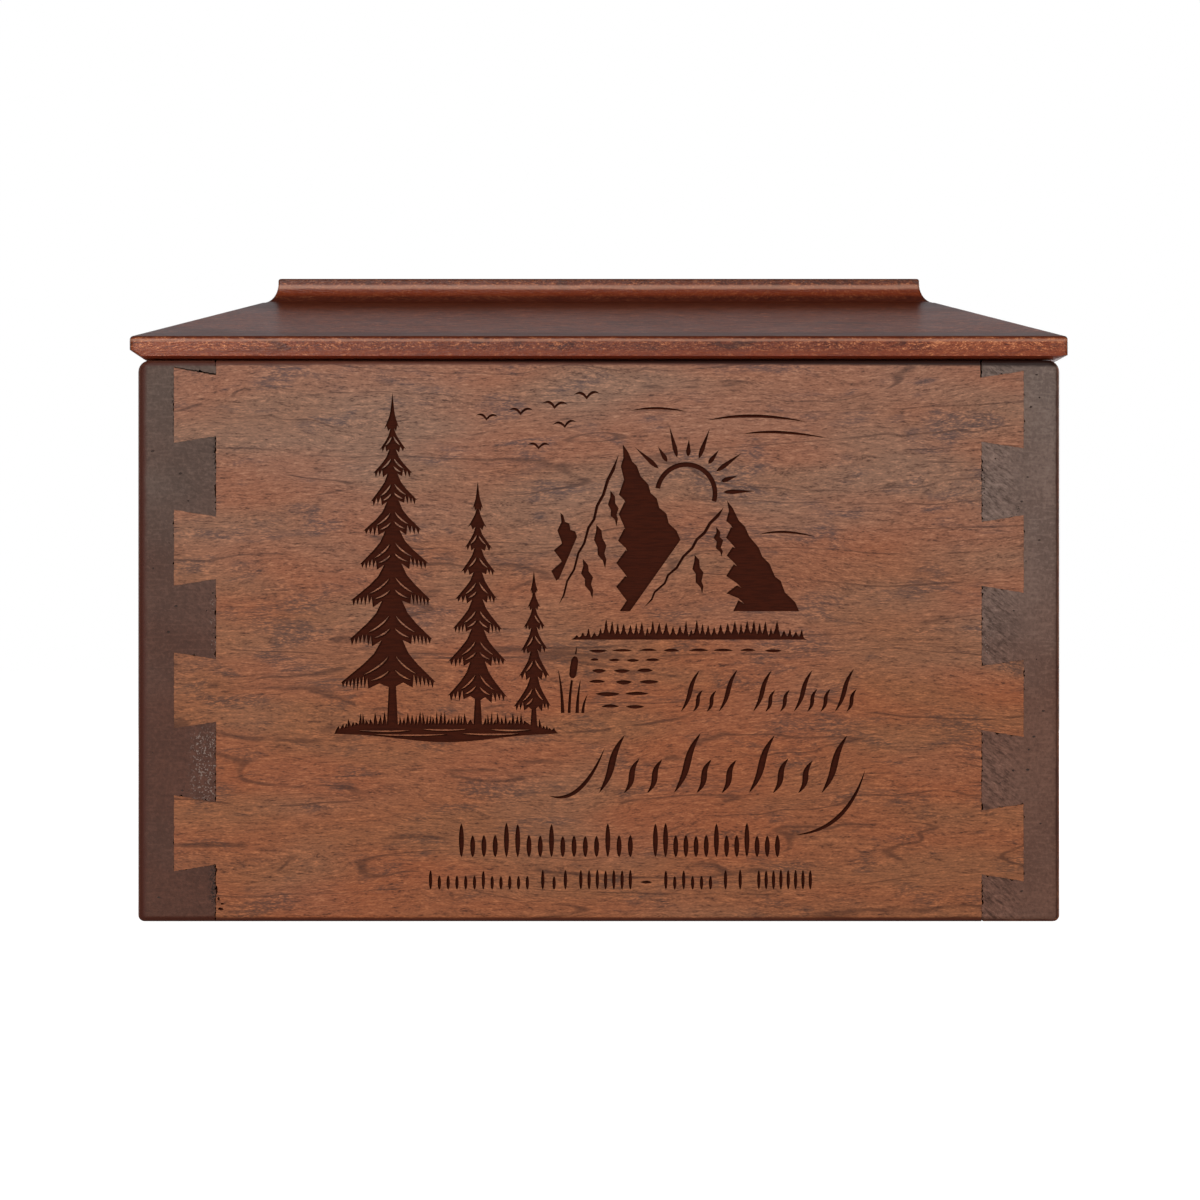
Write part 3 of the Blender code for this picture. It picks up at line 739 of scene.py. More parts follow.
LEFT_TEARS = (
    Tear(-95.6, 117.0, 1.0, 4.6, TORN, 0.5),
    Tear(-106.0, 129.0, 0.8, 10.0, TORN, 0.46),
    Tear(-95.6, 74.0, 2.0, 8.5, DUST, 0.36),
    Tear(-95.8, 9.0, 2.2, 6.5, TORN, 0.5),
    Tear(-98.2, 39.0, 5.0, 11.5, DUST, 0.41),
)
RIGHT_TEARS = (
    Tear(95.9, 108.5, 0.8, 5.0, TORN, 0.46),
    Tear(104.5, 96.0, 0.7, 12.0, TORN, 0.42),
    Tear(97.0, 70.0, 2.4, 8.0, DUST, 0.34),
)

LID_PAINTED_LIGHT = (
    # Painted dark reflection along the top arris of the lid's edge.
    PaintedBand(146.35, 0.7, linear(86, 36, 18), 0.9),
    # Painted highlight on the edge just below that arris.
    PaintedBand(145.0, 0.3, linear(186, 134, 108), 0.45),
    # Painted orange reflection just above the lower chamfer.
    PaintedBand(141.9, 0.6, linear(124, 50, 18), 0.6),
    # Painted light on the lower chamfer, which faces down into shade.
    PaintedBand(140.5, 0.6, linear(160, 66, 40), 0.85),
    # Painted shade in the bottom of the cove.
    PaintedBand(155.9, 2.3, linear(60, 16, 6), 0.8, 0.9),
    # Painted dark reflection: deep orange on the cove's upper part, where little light is reflected.
    PaintedBand(158.3, 0.9, linear(126, 46, 9), 0.55),
    # Painted highlight on the field's rounded arris.
    PaintedBand(159.6, 0.5, linear(204, 150, 124), 0.45),
    # Painted dark reflection on the field's top edge.
    PaintedBand(161.4, 0.7, linear(78, 42, 26), 0.5),
)

FRONT_WOOD = BoardLongGrain("front_wood", shift=(40.0, 12.0, 3.0))
BACK_WOOD = BoardLongGrain("back_wood", shift=(-340.0, 212.0, 93.0))
LEFT_WOOD = BoardLongGrain("left_end_wood", Grain.ALONG_Y, shift=(130.0, -55.0, 71.0))
LEFT_ENDS = BoardEndGrain(
    "left_end_grain", Grain.ALONG_Y, body=linear(92, 74, 65), dark=linear(76, 60, 52),
    light=linear(110, 90, 80), scales=0.35, rim=linear(72, 33, 23), rim_reach=2.3, tears=LEFT_TEARS,
)
RIGHT_WOOD = BoardLongGrain("right_end_wood", Grain.ALONG_Y, shift=(610.0, 32.0, -48.0), rim_reach=1.1)
RIGHT_ENDS = BoardEndGrain(
    "right_end_grain", Grain.ALONG_Y, body=linear(112, 94, 85), dark=linear(92, 76, 69),
    light=linear(130, 112, 102), painted_falloff_tint=(0.83, 0.55, 0.45), scales=1.1,
    rim=linear(60, 33, 26), rim_reach=1.2, tears=RIGHT_TEARS,
)
HIDDEN_ENDS = EndGrain("cut_ends")
PANEL_WOOD = LongGrain("panel_wood", gloss=Gloss(roughness=0.6), shift=(20.0, 7.0, 55.0))

LID_GLOSS = Gloss(roughness=0.32, level=0.26, coat=0.05, bump_depth=0.11 * MM)
LID_EDGE_GLOSS = Gloss(roughness=0.34, level=0.26, coat=0.05, bump_depth=0.2 * MM)
LID_SHIFT = (-70.0, 31.0, 18.0)
LID_WOOD = LidLongGrain(
    "lid_wood", gloss=LID_GLOSS, shift=LID_SHIFT, body=linear(114, 50, 25), pale=linear(118, 56, 32),
    dark=linear(48, 18, 10), light=linear(186, 106, 66), smoke=linear(74, 34, 24), ring=linear(58, 24, 14),
    flecks=0.8, clouds=0.4, rings=0.4, painted_bands=LID_PAINTED_LIGHT,
)
LID_EDGES = LidLongGrain(
    "lid_edges", gloss=LID_EDGE_GLOSS, shift=LID_SHIFT, shortening=2.2, body=linear(106, 44, 20),
    pale=linear(112, 50, 26), dark=linear(36, 12, 6), light=linear(194, 120, 76), smoke=linear(62, 27, 16),
    ring=linear(44, 16, 9), painted_bands=LID_PAINTED_LIGHT, end_lift=(1.6, 1.75, 1.8),
)
LID_ENDS = LidEndGrain(
    "lid_end_grain", gloss=LID_GLOSS, body=linear(96, 52, 34), dark=linear(70, 36, 24),
    light=linear(120, 72, 50), painted_bands=LID_PAINTED_LIGHT,
)

OPEN_PORES = EndGrain("pores", body=linear(60, 45, 39), dark=linear(46, 34, 29), light=linear(74, 58, 50))
BURNT_CUT = BurntCut("burnt_cut", gloss=Gloss(roughness=0.75, level=0.05))


class Coat(IntEnum):
    """Which of its piece's finishes a face gets: the places of the piece's material slots."""

    ALONG = 0
    ACROSS = 1
    SPECIAL = 2


class Piece:
    """A mesh piece in the making: bmesh operators and Booleans in, one dressed object out."""

    def __init__(self, name: str, shape: bmesh.types.BMesh) -> None:
        """Makes an object of the shape and frees the shape.

        Args:
            name: The object's name.
            shape: Its closed mesh.
        """
        bmesh.ops.recalc_face_normals(shape, faces=shape.faces)
        mesh = bpy.data.meshes.new(name)
        shape.to_mesh(mesh)
        shape.free()
        self.item = bpy.data.objects.new(name, mesh)
        bpy.context.scene.collection.objects.link(self.item)

    def combine(self, cutter: Piece, operation: str) -> Piece:
        """Applies a Boolean with another piece, which is used up.

        Args:
            cutter: The other piece.
            operation: UNION, INTERSECT or DIFFERENCE.

        Returns:
            This piece.
        """
        modifier = self.item.modifiers.new(operation.lower(), "BOOLEAN")
        modifier.operation = operation
        modifier.solver = "EXACT"
        modifier.object = cutter.item
        bpy.context.view_layer.update()
        graph = bpy.context.evaluated_depsgraph_get()
        result = bpy.data.meshes.new_from_object(self.item.evaluated_get(graph))
        self.item.modifiers.clear()
        old = self.item.data
        self.item.data = result
        result.name = self.item.name
        bpy.data.meshes.remove(old)
        used = cutter.item.data
        bpy.data.objects.remove(cutter.item, do_unlink=True)
        bpy.data.meshes.remove(used)
        return self

    def finish(
        self, node: str, slot: str, finishes: list[Finish], groups: Groups,
        choose: Callable[[bpy.types.MeshPolygon], Coat],
    ) -> None:
        """Shades the piece, gives it its materials and lets it stand for its solid.

        Args:
            node: The solid that it replaces.
            slot: The record's material slot; not used.
            finishes: Its finishes, in the order of its mesh's material slots.
            groups: The shared node groups.
            choose: Says which finish a face gets.
        """
        mesh = self.item.data
        mesh.materials.clear()
        for finish in finishes:
            mesh.materials.append(finish.material(groups))
        for face in mesh.polygons:
            face.material_index = choose(face)
        mesh.shade_smooth()
        mesh.set_sharp_from_angle(angle=SHARP_FROM)
        weighted = self.item.modifiers.new("weighted_normals", "WEIGHTED_NORMAL")
        weighted.keep_sharp = True
        weighted.weight = NORMAL_WEIGHT
        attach(self.item, ROOT)
        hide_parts(node)
        LOG.info("%s: %d faces", self.item.name, len(mesh.polygons))


def cut_across(axis: int) -> Callable[[bpy.types.MeshPolygon], Coat]:
    """Returns a rule that gives the faces that look along an axis the finish across the fibres."""
    return lambda face: Coat.ACROSS if abs(face.normal[axis]) > ACROSS_FROM else Coat.ALONG


def box_piece(name: str, low: tuple[float, ...], high: tuple[float, ...]) -> Piece:
    """Makes a plain box.

    Args:
        name: Its name.
        low: Its lowest corner.
        high: Its highest corner.

    Returns:
        The piece.
    """
    shape = bmesh.new()
    bmesh.ops.create_cube(shape, size=1.0)
    bmesh.ops.scale(shape, vec=[b - a for a, b in zip(low, high)], verts=shape.verts)
    bmesh.ops.translate(shape, vec=[(a + b) / 2 for a, b in zip(low, high)], verts=shape.verts)
    return Piece(name, shape)


def doubled_area(outline: Outline) -> float:
    """Returns twice an outline's area, positive when it runs anticlockwise."""
    return sum(a[0] * b[1] - b[0] * a[1] for a, b in zip(outline, outline[1:] + outline[:1]))


def bars(name: str, outlines: list[Outline], near: float, far: float, scale: float = 1.0) -> Piece:
    """Makes bars that run in y.

    Args:
        name: The piece's name.
        outlines: The bars' sections in x and z.
        near: Where they start.
        far: Where they end.
        scale: The sections' unit in metres.

    Returns:
        One piece with all the bars.
    """
    shape = bmesh.new()
    for outline in outlines:
        points = outline if doubled_area(outline) > 0.0 else outline[::-1]
        section = shape.faces.new([shape.verts.new((x * scale, near, z * scale)) for x, z in points])
        grown = bmesh.ops.extrude_face_region(shape, geom=[section])["geom"]
        moved = [part for part in grown if isinstance(part, bmesh.types.BMVert)]
        bmesh.ops.translate(shape, vec=(0.0, far - near, 0.0), verts=moved)
    return Piece(name, shape)


@dataclass(frozen=True)
class Level:
    """One level of a stacked block: its height, how far each side stands in, and its corners' radius."""

    height: float
    left: float
    right: float
    ends: float
    radius: float

    @classmethod
    def even(cls, height: float, inset: float, radius: float) -> Level:
        """Makes a level that stands in alike on every side."""
        return cls(height, inset, inset, inset, radius)


def stacked(name: str, half_x: float, half_y: float, levels: list[Level], steps: int) -> Piece:
    """Makes a block through rounded rectangles, one over the other.

    Args:
        name: The piece's name.
        half_x: Half the block's full width.
        half_y: Half the block's full depth.
        levels: Its levels from the lowest up; ends is the inset at the front and at the back.
        steps: Steps in each rounded corner.

    Returns:
        The piece.
    """
    shape = bmesh.new()
    rings = []
    for level in levels:
        quarters = ((1, 1, level.right), (-1, 1, level.left), (-1, -1, level.left), (1, -1, level.right))
        verts = []
        for quarter, (side_x, side_y, inset) in enumerate(quarters):
            for i in range(steps + 1):
                angle = math.radians(90.0 * (quarter + i / steps))
                x = side_x * (half_x - inset - level.radius) + level.radius * math.cos(angle)
                y = side_y * (half_y - level.ends - level.radius) + level.radius * math.sin(angle)
                verts.append(shape.verts.new((x, y, level.height)))
        rings.append([shape.edges.new(pair) for pair in zip(verts, verts[1:] + verts[:1])])
    for below, above in zip(rings, rings[1:]):
        bmesh.ops.bridge_loops(shape, edges=below + above)
    for ring in (rings[0], rings[-1]):
        bmesh.ops.contextual_create(shape, geom=ring)
    return Piece(name, shape)


def rounding(radius: float, rise: float) -> float:
    """Returns how far a rounded edge of this radius stands in at this rise from its end."""
    left = max(radius - rise, 0.0)
    return radius - math.sqrt(max(radius * radius - left * left, 0.0))


def bow(start: Point, bend: Point, end: Point, steps: int) -> Outline:
    """Follows a curve that leaves start towards bend and arrives at end.

    Args:
        start: Its first point.
        bend: The point it leans towards.
        end: Its last point.
        steps: Its number of steps.

    Returns:
        Its points.
    """
    points = []
    for i in range(steps + 1):
        t = i / steps
        shares = ((1.0 - t) ** 2, 2.0 * t * (1.0 - t), t * t)
        points.append(tuple(sum(s * p[k] for s, p in zip(shares, (start, bend, end))) for k in (0, 1)))
    return points


def arc(centre: Point, radius: float, first: float, last: float, steps: int) -> Outline:
    """Follows a circle between two angles in degrees.

    Args:
        centre: The circle's centre.
        radius: Its radius.
        first: The first angle.
        last: The last angle.
        steps: Its number of steps.

    Returns:
        Its points.
    """
    turns = [math.radians(first + (last - first) * i / steps) for i in range(steps + 1)]
    return [(centre[0] + radius * math.cos(t), centre[1] + radius * math.sin(t)) for t in turns]


def ribbon(path: Outline, widths: list[float]) -> Outline:
    """Outlines a stroke along a path.

    Args:
        path: The stroke's middle line.
        widths: Its width at each point; none makes a sharp end.

    Returns:
        The outline.
    """
    left = []
    right = []
    for i, (x, z) in enumerate(path):
        before = path[max(i - 1, 0)]
        after = path[min(i + 1, len(path) - 1)]
        along = math.dist(before, after)
        across = ((before[1] - after[1]) / along, (after[0] - before[0]) / along)
        half = widths[i] / 2
        left.append((x + across[0] * half, z + across[1] * half))
        if half > 0.0:
            right.append((x - across[0] * half, z - across[1] * half))
    return left + right[::-1]


def blade(path: Outline, width: float, fullness: float = 0.8) -> Outline:
    """Outlines a stroke with two sharp ends.

    Args:
        path: Its middle line.
        width: Its width in the middle.
        fullness: The lower, the longer it stays wide.

    Returns:
        The outline.
    """
    last = len(path) - 1
    belly = [width * math.sin(math.pi * i / last) ** fullness for i in range(1, last)]
    return ribbon(path, [0.0, *belly, 0.0])


def horn(path: Outline, width: float, fullness: float = 0.7) -> Outline:
    """Outlines a stroke that starts wide and runs out to a sharp tip.

    Args:
        path: Its middle line.
        width: Its width at the start.
        fullness: The lower, the longer it stays wide.

    Returns:
        The outline.
    """
    last = len(path) - 1
    return ribbon(path, [width * (1.0 - i / last) ** fullness for i in range(last)] + [0.0])


def broken_line(
    start: Point, end: Point, corners: int, swing: float, chance: random.Random, growth: float,
) -> Outline:
    """Draws a line whose corners stand to either side of the straight way.

    Args:
        start: Its first point.
        end: Its last point.
        corners: Its number of stretches.
        swing: How far its corners stand out at its end.
        chance: The source of unevenness.
        growth: How the swing grows on the way.

    Returns:
        Its points.
    """
    along = math.dist(start, end)
    across = ((start[1] - end[1]) / along, (end[0] - start[0]) / along)
    points = [start]
    for k in range(1, corners):
        t = (k + chance.uniform(-0.22, 0.22)) / corners
        out = (1 if k % 2 else -1) * swing * t ** growth * chance.uniform(0.6, 1.0)
        points.append(tuple(start[i] + (end[i] - start[i]) * t + across[i] * out for i in (0, 1)))
    return [*points, end]


class Motif(ABC):
    """A part of the engraving."""

    @abstractmethod
    def outlines(self) -> list[Outline]:
        """Returns the outlines that are cut."""

    def spared(self) -> list[Outline]:
        """Returns the fine lines that stay uncut inside them."""
        return []


@dataclass(frozen=True)
class Fir:
    """A fir, its proportions as shares of its height, of its reach or of one tier of boughs."""

    x: float
    tip: float
    reach: float
    tiers: int
    crown: float = 0.81
    first_tier: float = 0.6
    tier_growth: float = 0.8
    tier_taper: float = 0.85
    tier_spread: tuple[float, float] = (0.86, 1.05)
    tier_drop: tuple[float, float] = (0.98, 1.06)
    top: float = 0.053
    sag_at: float = 0.45
    sag: float = 0.58
    fringe: float = 0.55
    notch: float = 0.16
    tooth: float = 0.15
    tooth_pitch: float = 1.7
    waist: float = 0.25
    trunk_least: float = 0.35
    trunk_share: float = 0.045
    glint: float = 0.38
    glint_from: tuple[float, float] = (2.6, 5.0)
    glint_lines: tuple[tuple[Point, ...], ...] = (
        ((0.08, 0.62), (0.22, 0.38), (0.55, 0.2)),
        ((0.06, 0.3), (0.18, 0.14), (0.42, 0.06)),
    )

    def side(self, foot: float, trunk: float, chance: random.Random) -> Outline:
        """Draws one side of the tree.

        Args:
            foot: The height of its foot.
            trunk: Half its trunk's width.
            chance: The source of unevenness.

        Returns:
            (out, down) points from the tip down: tier by tier, then the trunk.
        """
        height = self.tip - foot
        weights = [self.first_tier + self.tier_growth * i / (self.tiers - 1) for i in range(self.tiers)]
        down = height * self.top
        root = trunk * 0.5
        points = [(root, down)]
        for i, weight in enumerate(weights):
            pitch = height * self.crown * weight / sum(weights)
            out = self.reach * ((i + 1) / self.tiers) ** self.tier_taper * chance.uniform(*self.tier_spread)
            low = down + pitch * chance.uniform(*self.tier_drop)
            sag = (root + (out - root) * self.sag_at, down + pitch * self.sag)
            points.append((root + (sag[0] - root) * 0.4, down + (sag[1] - down) * 0.55))
            points.append(sag)
            points.append((out, low))
            slope = (low - sag[1]) / (out - sag[0])
            teeth = max(1, round(out / self.tooth_pitch))
            for k in range(teeth):
                inward = out * (1.0 - self.fringe * (k + 0.55) / teeth)
                hanging = out * (1.0 - self.fringe * (k + 0.85) / teeth)
                cut = min(pitch * self.notch * chance.uniform(0.7, 1.3), (out - inward) * slope * 0.45)
                points.append((inward, low - cut))
                points.append((hanging, low + pitch * self.tooth * chance.uniform(0.6, 1.2)))
            root = out * self.waist
            points.append((root, low))
            down = low
        points.append((trunk, down + trunk))
        points.append((trunk * 1.5, height))
        return points

    def outline(self, foot: float, chance: random.Random) -> Outline:
        """Draws the whole tree.

        Args:
            foot: The height of its foot.
            chance: The source of unevenness.

        Returns:
            Its outline from the left of its foot over its tip to the right of its foot.
        """
        trunk = self.trunk_least + self.reach * self.trunk_share
        left = self.side(foot, trunk, chance)
        right = self.side(foot, trunk, chance)
        rising = [(self.x - out, self.tip - down) for out, down in reversed(left)]
        falling = [(self.x + out, self.tip - down) for out, down in right]
        return [*rising, (self.x, self.tip), *falling]

    def glints(self, outline: Outline) -> list[Outline]:
        """Draws the fine light lines along the boughs.

        Args:
            outline: An outline that holds this tree.

        Returns:
            Two strokes for each large bough and one for each small one.
        """
        strokes = []
        for side in (-1, 1):
            points = [(side * (x - self.x), z) for x, z in outline]
            rows = zip(points, points[1:], points[2:])
            tips = [here for before, here, after in rows if before[0] < here[0] > after[0] and 0.0 < here[0]]
            own = sorted((tip for tip in tips if tip[0] < 1.1 * self.reach), key=lambda tip: -tip[1])
            for above, (out, low) in zip(own, own[1:]):
                pitch = above[1] - low
                for lines in self.glint_lines[:sum(out > least for least in self.glint_from)]:
                    start, bend, end = [(self.x + side * out * u, low + pitch * v) for u, v in lines]
                    strokes.append(blade(bow(start, bend, end, 5), self.glint))
        return strokes


@dataclass(frozen=True)
class NearShore(Motif):
    """The bank with its grass and firs, as one outline."""

    left: float = -66.0
    right: float = -10.0
    ground: float = 46.8
    firs: tuple[Fir, ...] = (Fir(-51.5, 132.0, 12.6, 9), Fir(-30.2, 110.0, 8.2, 8), Fir(-16.2, 87.5, 4.9, 6))
    pitch: float = 0.95
    low: float = 0.9
    high: float = 3.4
    thin_left: float = 7.0
    thin_right: float = 9.0
    tree_room: float = 1.3
    dip: float = 1.7
    dip_twist: float = 0.4
    steps: int = 18
    seam: float = 0.36
    seams: tuple[tuple[float, float, float], ...] = (
        (-60.0, -47.0, 0.9), (-56.0, -38.0, -0.1), (-44.0, -33.0, 1.2), (-34.0, -20.0, 0.1),
        (-27.0, -17.0, 1.1),
    )
    seed: int = 5

    def outlines(self) -> list[Outline]:
        """Draws the bank.

        Returns:
            The one outline.
        """
        chance = random.Random(self.seed)
        x = self.left + 0.4
        waiting = list(self.firs)
        points = [(self.left, self.ground)]
        while x < self.right - self.pitch:
            from_left = (x - self.left + 0.8) / self.thin_left
            thinning = min(1.0, from_left, (self.right - x) / self.thin_right)
            base = self.ground + 0.6 + 1.8 * thinning
            if waiting and x + self.pitch > waiting[0].x - self.tree_room:
                tree = waiting.pop(0).outline(base, chance)
                points.extend(tree)
                x = tree[-1][0] + 0.3
                continue
            width = self.pitch * chance.uniform(0.75, 1.2)
            height = chance.uniform(self.low, self.high) * (0.3 + 0.7 * thinning)
            lean = width * chance.uniform(-0.35, 0.35)
            points.append((x, base))
            points.append((x + width / 2 + lean, base + height))
            x += width
        points.append((x, self.ground + 0.5))
        points.append((self.right, self.ground + 0.1))
        for k in range(1, self.steps):
            t = k / self.steps
            dip = self.dip * math.sin(math.pi * t) - self.dip_twist * math.sin(3.0 * math.pi * t)
            points.append((self.right + (self.left - self.right) * t, self.ground - dip))
        return [points]

    def spared(self) -> list[Outline]:
        """Draws the light lines.

        Returns:
            Those along the boughs and those in the bank.
        """
        outline = self.outlines()[0]
        strokes = [stroke for fir in self.firs for stroke in fir.glints(outline)]
        for left, right, height in self.seams:
            middle = ((left + right) / 2, self.ground + height - 0.5)
            path = bow((left, self.ground + height), middle, (right, self.ground + height), 8)
            strokes.append(blade(path, self.seam))
        return strokes


@dataclass(frozen=True)
class FarShore(Motif):
    """The low shore with its small tree tops, as one outline."""

    left: float = -7.0
    right: float = 52.0
    ground: float = 70.3
    low: float = 2.2
    high: float = 5.2
    pitch: float = 1.5
    thin: float = 7.0
    spire: tuple[Point, ...] = ((0.0, 0.32), (0.28, 0.62), (0.24, 0.66), (0.5, 1.0), (0.74, 0.6), (0.7, 0.56))
    seed: int = 3

    def outlines(self) -> list[Outline]:
        """Draws the shore.

        Returns:
            The one outline.
        """
        chance = random.Random(self.seed)
        x = self.left + self.pitch / 2
        points = [(self.left, self.ground)]
        while x < self.right - self.pitch:
            thinning = min(1.0, (x - self.left) / self.thin, (self.right - x) / self.thin)
            height = chance.uniform(self.low, self.high) * (0.35 + 0.65 * thinning)
            width = self.pitch * chance.uniform(0.8, 1.2)
            points.extend((x + width * out, self.ground + height * up) for out, up in self.spire)
            x += width
        points.append((x, self.ground + 0.35))
        points.append((self.right, self.ground))
        return [points]


@dataclass(frozen=True)
class Flank(Motif):
    """The dark side of a mountain, its inner edge broken and split by light clefts."""

    summit: Point
    outer_foot: Point
    corner: Point
    inner_foot: Point
    outside: int
    inside: int
    seed: int
    outer_swing: float = 0.45
    inner_swing: float = 1.8
    cleft: float = 0.42
    cleft_range: tuple[float, float] = (0.2, 0.92)
    mouth: float = 0.5

    def outlines(self) -> list[Outline]:
        """Draws the flank.

        Returns:
            The one outline.
        """
        chance = random.Random(self.seed)
        outer = broken_line(self.summit, self.outer_foot, 2 * self.outside, self.outer_swing, chance, 0.3)
        inner = broken_line(self.summit, self.inner_foot, self.inside, self.inner_swing, chance, 0.7)
        rising = inner[:0:-1]
        points = [*outer, self.corner]
        reach = self.corner[0] - self.inner_foot[0]
        for before, here in zip([self.corner, *rising], rising):
            points.append(here)
            share = (self.summit[1] - here[1]) / (self.summit[1] - self.inner_foot[1])
            if here[0] < before[0] or not self.cleft_range[0] < share < self.cleft_range[1]:
                continue
            length = reach * share * self.cleft * chance.uniform(0.6, 1.0)
            tip = (here[0] + length * 0.6, here[1] - length * 0.35)
            points.append(tip)
            points.append((here[0] - 0.02, here[1] + self.mouth))
        return [points]


@dataclass(frozen=True)
class Ridge(Motif):
    """A thin broken line down a mountain's light side."""

    top: Point
    foot: Point
    seed: int
    corners: int = 12
    swing: float = 0.35
    width: float = 0.85

    def outlines(self) -> list[Outline]:
        """Draws the ridge.

        Returns:
            The one outline.
        """
        path = broken_line(self.top, self.foot, self.corners, self.swing, random.Random(self.seed), 0.2)
        last = len(path) - 1
        widths = [self.width * (1.0 - 0.5 * i / last) for i in range(1, last)]
        return [ribbon(path, [0.0, *widths, 0.0])]


@dataclass(frozen=True)
class Rib(Motif):
    """A short broken shade on a mountain's light side."""

    top: Point
    foot: Point
    width: float
    seed: int
    swing: float = 0.4
    shares: tuple[float, ...] = (0.0, 0.6, 0.95, 1.0, 0.75, 0.4, 0.0)

    def outlines(self) -> list[Outline]:
        """Draws the rib.

        Returns:
            The one outline.
        """
        chance = random.Random(self.seed)
        path = broken_line(self.top, self.foot, len(self.shares) - 1, self.swing, chance, 0.1)
        return [ribbon(path, [self.width * share for share in self.shares])]


@dataclass(frozen=True)
class Sun(Motif):
    """The rising sun's band and its rays, long and short by turns."""

    centre: Point = (21.8, 106.8)
    radius: float = 7.8
    band: float = 1.2
    first: float = -16.0
    last: float = 170.0
    first_ray: float = 2.0
    last_ray: float = 138.0
    gap: float = 1.4
    rays: int = 9
    length: float = 8.0
    short_share: float = 0.55
    ray: tuple[Point, ...] = ((0.0, 0.0), (0.12, 0.7), (0.3, 1.0), (0.6, 0.6), (1.0, 0.0))
    steps: int = 48

    def outlines(self) -> list[Outline]:
        """Draws the sun.

        Returns:
            The band and the rays.
        """
        rim = arc(self.centre, self.radius, self.first, self.last, self.steps)
        shapes = [rim + arc(self.centre, self.radius - self.band, self.last, self.first, self.steps)]
        start = self.radius + self.gap
        for k in range(self.rays):
            turn = math.radians(self.first_ray + (self.last_ray - self.first_ray) * k / (self.rays - 1))
            length = self.length * (1.0 if k % 2 == 0 else self.short_share)
            reaches = [start + length * share for share, _ in self.ray]
            way = (math.cos(turn), math.sin(turn))
            path = [(self.centre[0] + r * way[0], self.centre[1] + r * way[1]) for r in reaches]
            shapes.append(ribbon(path, [self.band * share for _, share in self.ray]))
        return shapes


@dataclass(frozen=True)
class Bird(Motif):
    """A bird seen from the front, its wings spread."""

    x: float
    z: float
    span: float
    tilt: float
    curves: tuple[tuple[Point, ...], ...] = (
        ((-1.0, 0.10), (-0.45, 0.66), (0.0, 0.02)),
        ((0.0, 0.02), (0.45, 0.72), (1.0, 0.20)),
        ((1.0, 0.20), (0.42, 0.42), (0.0, -0.24)),
        ((0.0, -0.24), (-0.42, 0.36), (-1.0, 0.10)),
    )
    steps: int = 7

    def outlines(self) -> list[Outline]:
        """Draws the bird.

        Returns:
            The one outline.
        """
        points = [point for curve in self.curves for point in bow(*curve, self.steps)[:-1]]
        along = self.span / 2 * math.cos(math.radians(self.tilt))
        across = self.span / 2 * math.sin(math.radians(self.tilt))
        return [[(self.x + u * along - v * across, self.z + u * across + v * along) for u, v in points]]


@dataclass(frozen=True)
class FreeStroke(Motif):
    """One long pen stroke with sharp ends: a cloud or a flourish."""

    start: Point
    bend: Point
    end: Point
    width: float
    steps: int = 20

    def outlines(self) -> list[Outline]:
        """Returns the one outline."""
        return [blade(bow(self.start, self.bend, self.end, self.steps), self.width)]


@dataclass(frozen=True)
class RippleRow(Motif):
    """A row of level ripples."""

    z: float
    left: float
    right: float
    count: int
    width: float
    seed: int
    steps: int = 9

    def outlines(self) -> list[Outline]:
        """Draws the ripples.

        Returns:
            One outline for each ripple.
        """
        chance = random.Random(self.seed)
        cell = (self.right - self.left) / self.count
        shapes = []
        for k in range(self.count):
            start = self.left + cell * k + chance.uniform(0.2, 0.9)
            end = self.left + cell * (k + 1) - chance.uniform(0.6, 1.8)
            bend = ((start + end) / 2, self.z + chance.uniform(-0.35, 0.35))
            path = bow((start, self.z), bend, (end, self.z), self.steps)
            shapes.append(blade(path, self.width * chance.uniform(0.7, 1.0)))
        return shapes


@dataclass(frozen=True)
class Reed(Motif):
    """A leaf at the water's edge."""

    x: float
    height: float
    lean: float
    width: float
    foot: float = 52.0
    steps: int = 12

    def outlines(self) -> list[Outline]:
        """Draws the leaf.

        Returns:
            The one outline.
        """
        bend = (self.x + self.lean * 0.15, self.foot + self.height * 0.6)
        tip = (self.x + self.lean, self.foot + self.height)
        return [horn(bow((self.x, self.foot), bend, tip, self.steps), self.width)]


@dataclass(frozen=True)
class Bulrush(Motif):
    """A bulrush: its stalk, its head and the spike on it."""

    x: float = -7.4
    height: float = 8.2
    lean: float = 0.7
    foot: float = 52.0
    steps: int = 8
    stalk: tuple[float, float] = (0.72, 0.16)
    head: tuple[Point, ...] = (
        (0.5, 0.6), (0.8, 1.3), (1.3, 1.75), (3.2, 1.9), (5.1, 1.7), (5.7, 1.1), (6.0, 0.5),
    )
    spike: tuple[Point, ...] = ((6.5, 0.4), (7.4, 0.34), (8.6, 0.0))

    def outlines(self) -> list[Outline]:
        """Draws the bulrush.

        Returns:
            The stalk, the head and the spike.
        """
        top = (self.x + self.lean, self.foot + self.height)
        bend = (self.x + self.lean * 0.2, self.foot + self.height * 0.55)
        path = bow((self.x, self.foot), bend, top, self.steps)
        turn = math.atan2(path[-1][1] - path[-2][1], path[-1][0] - path[-2][0])
        width, loss = self.stalk
        shapes = [ribbon(path, [width - loss * i / self.steps for i in range(self.steps + 1)])]
        for part in (self.head, self.spike):
            path = [(top[0] + up * math.cos(turn), top[1] + up * math.sin(turn)) for up, _ in part]
            shapes.append(ribbon(path, [width for _, width in part]))
        return shapes


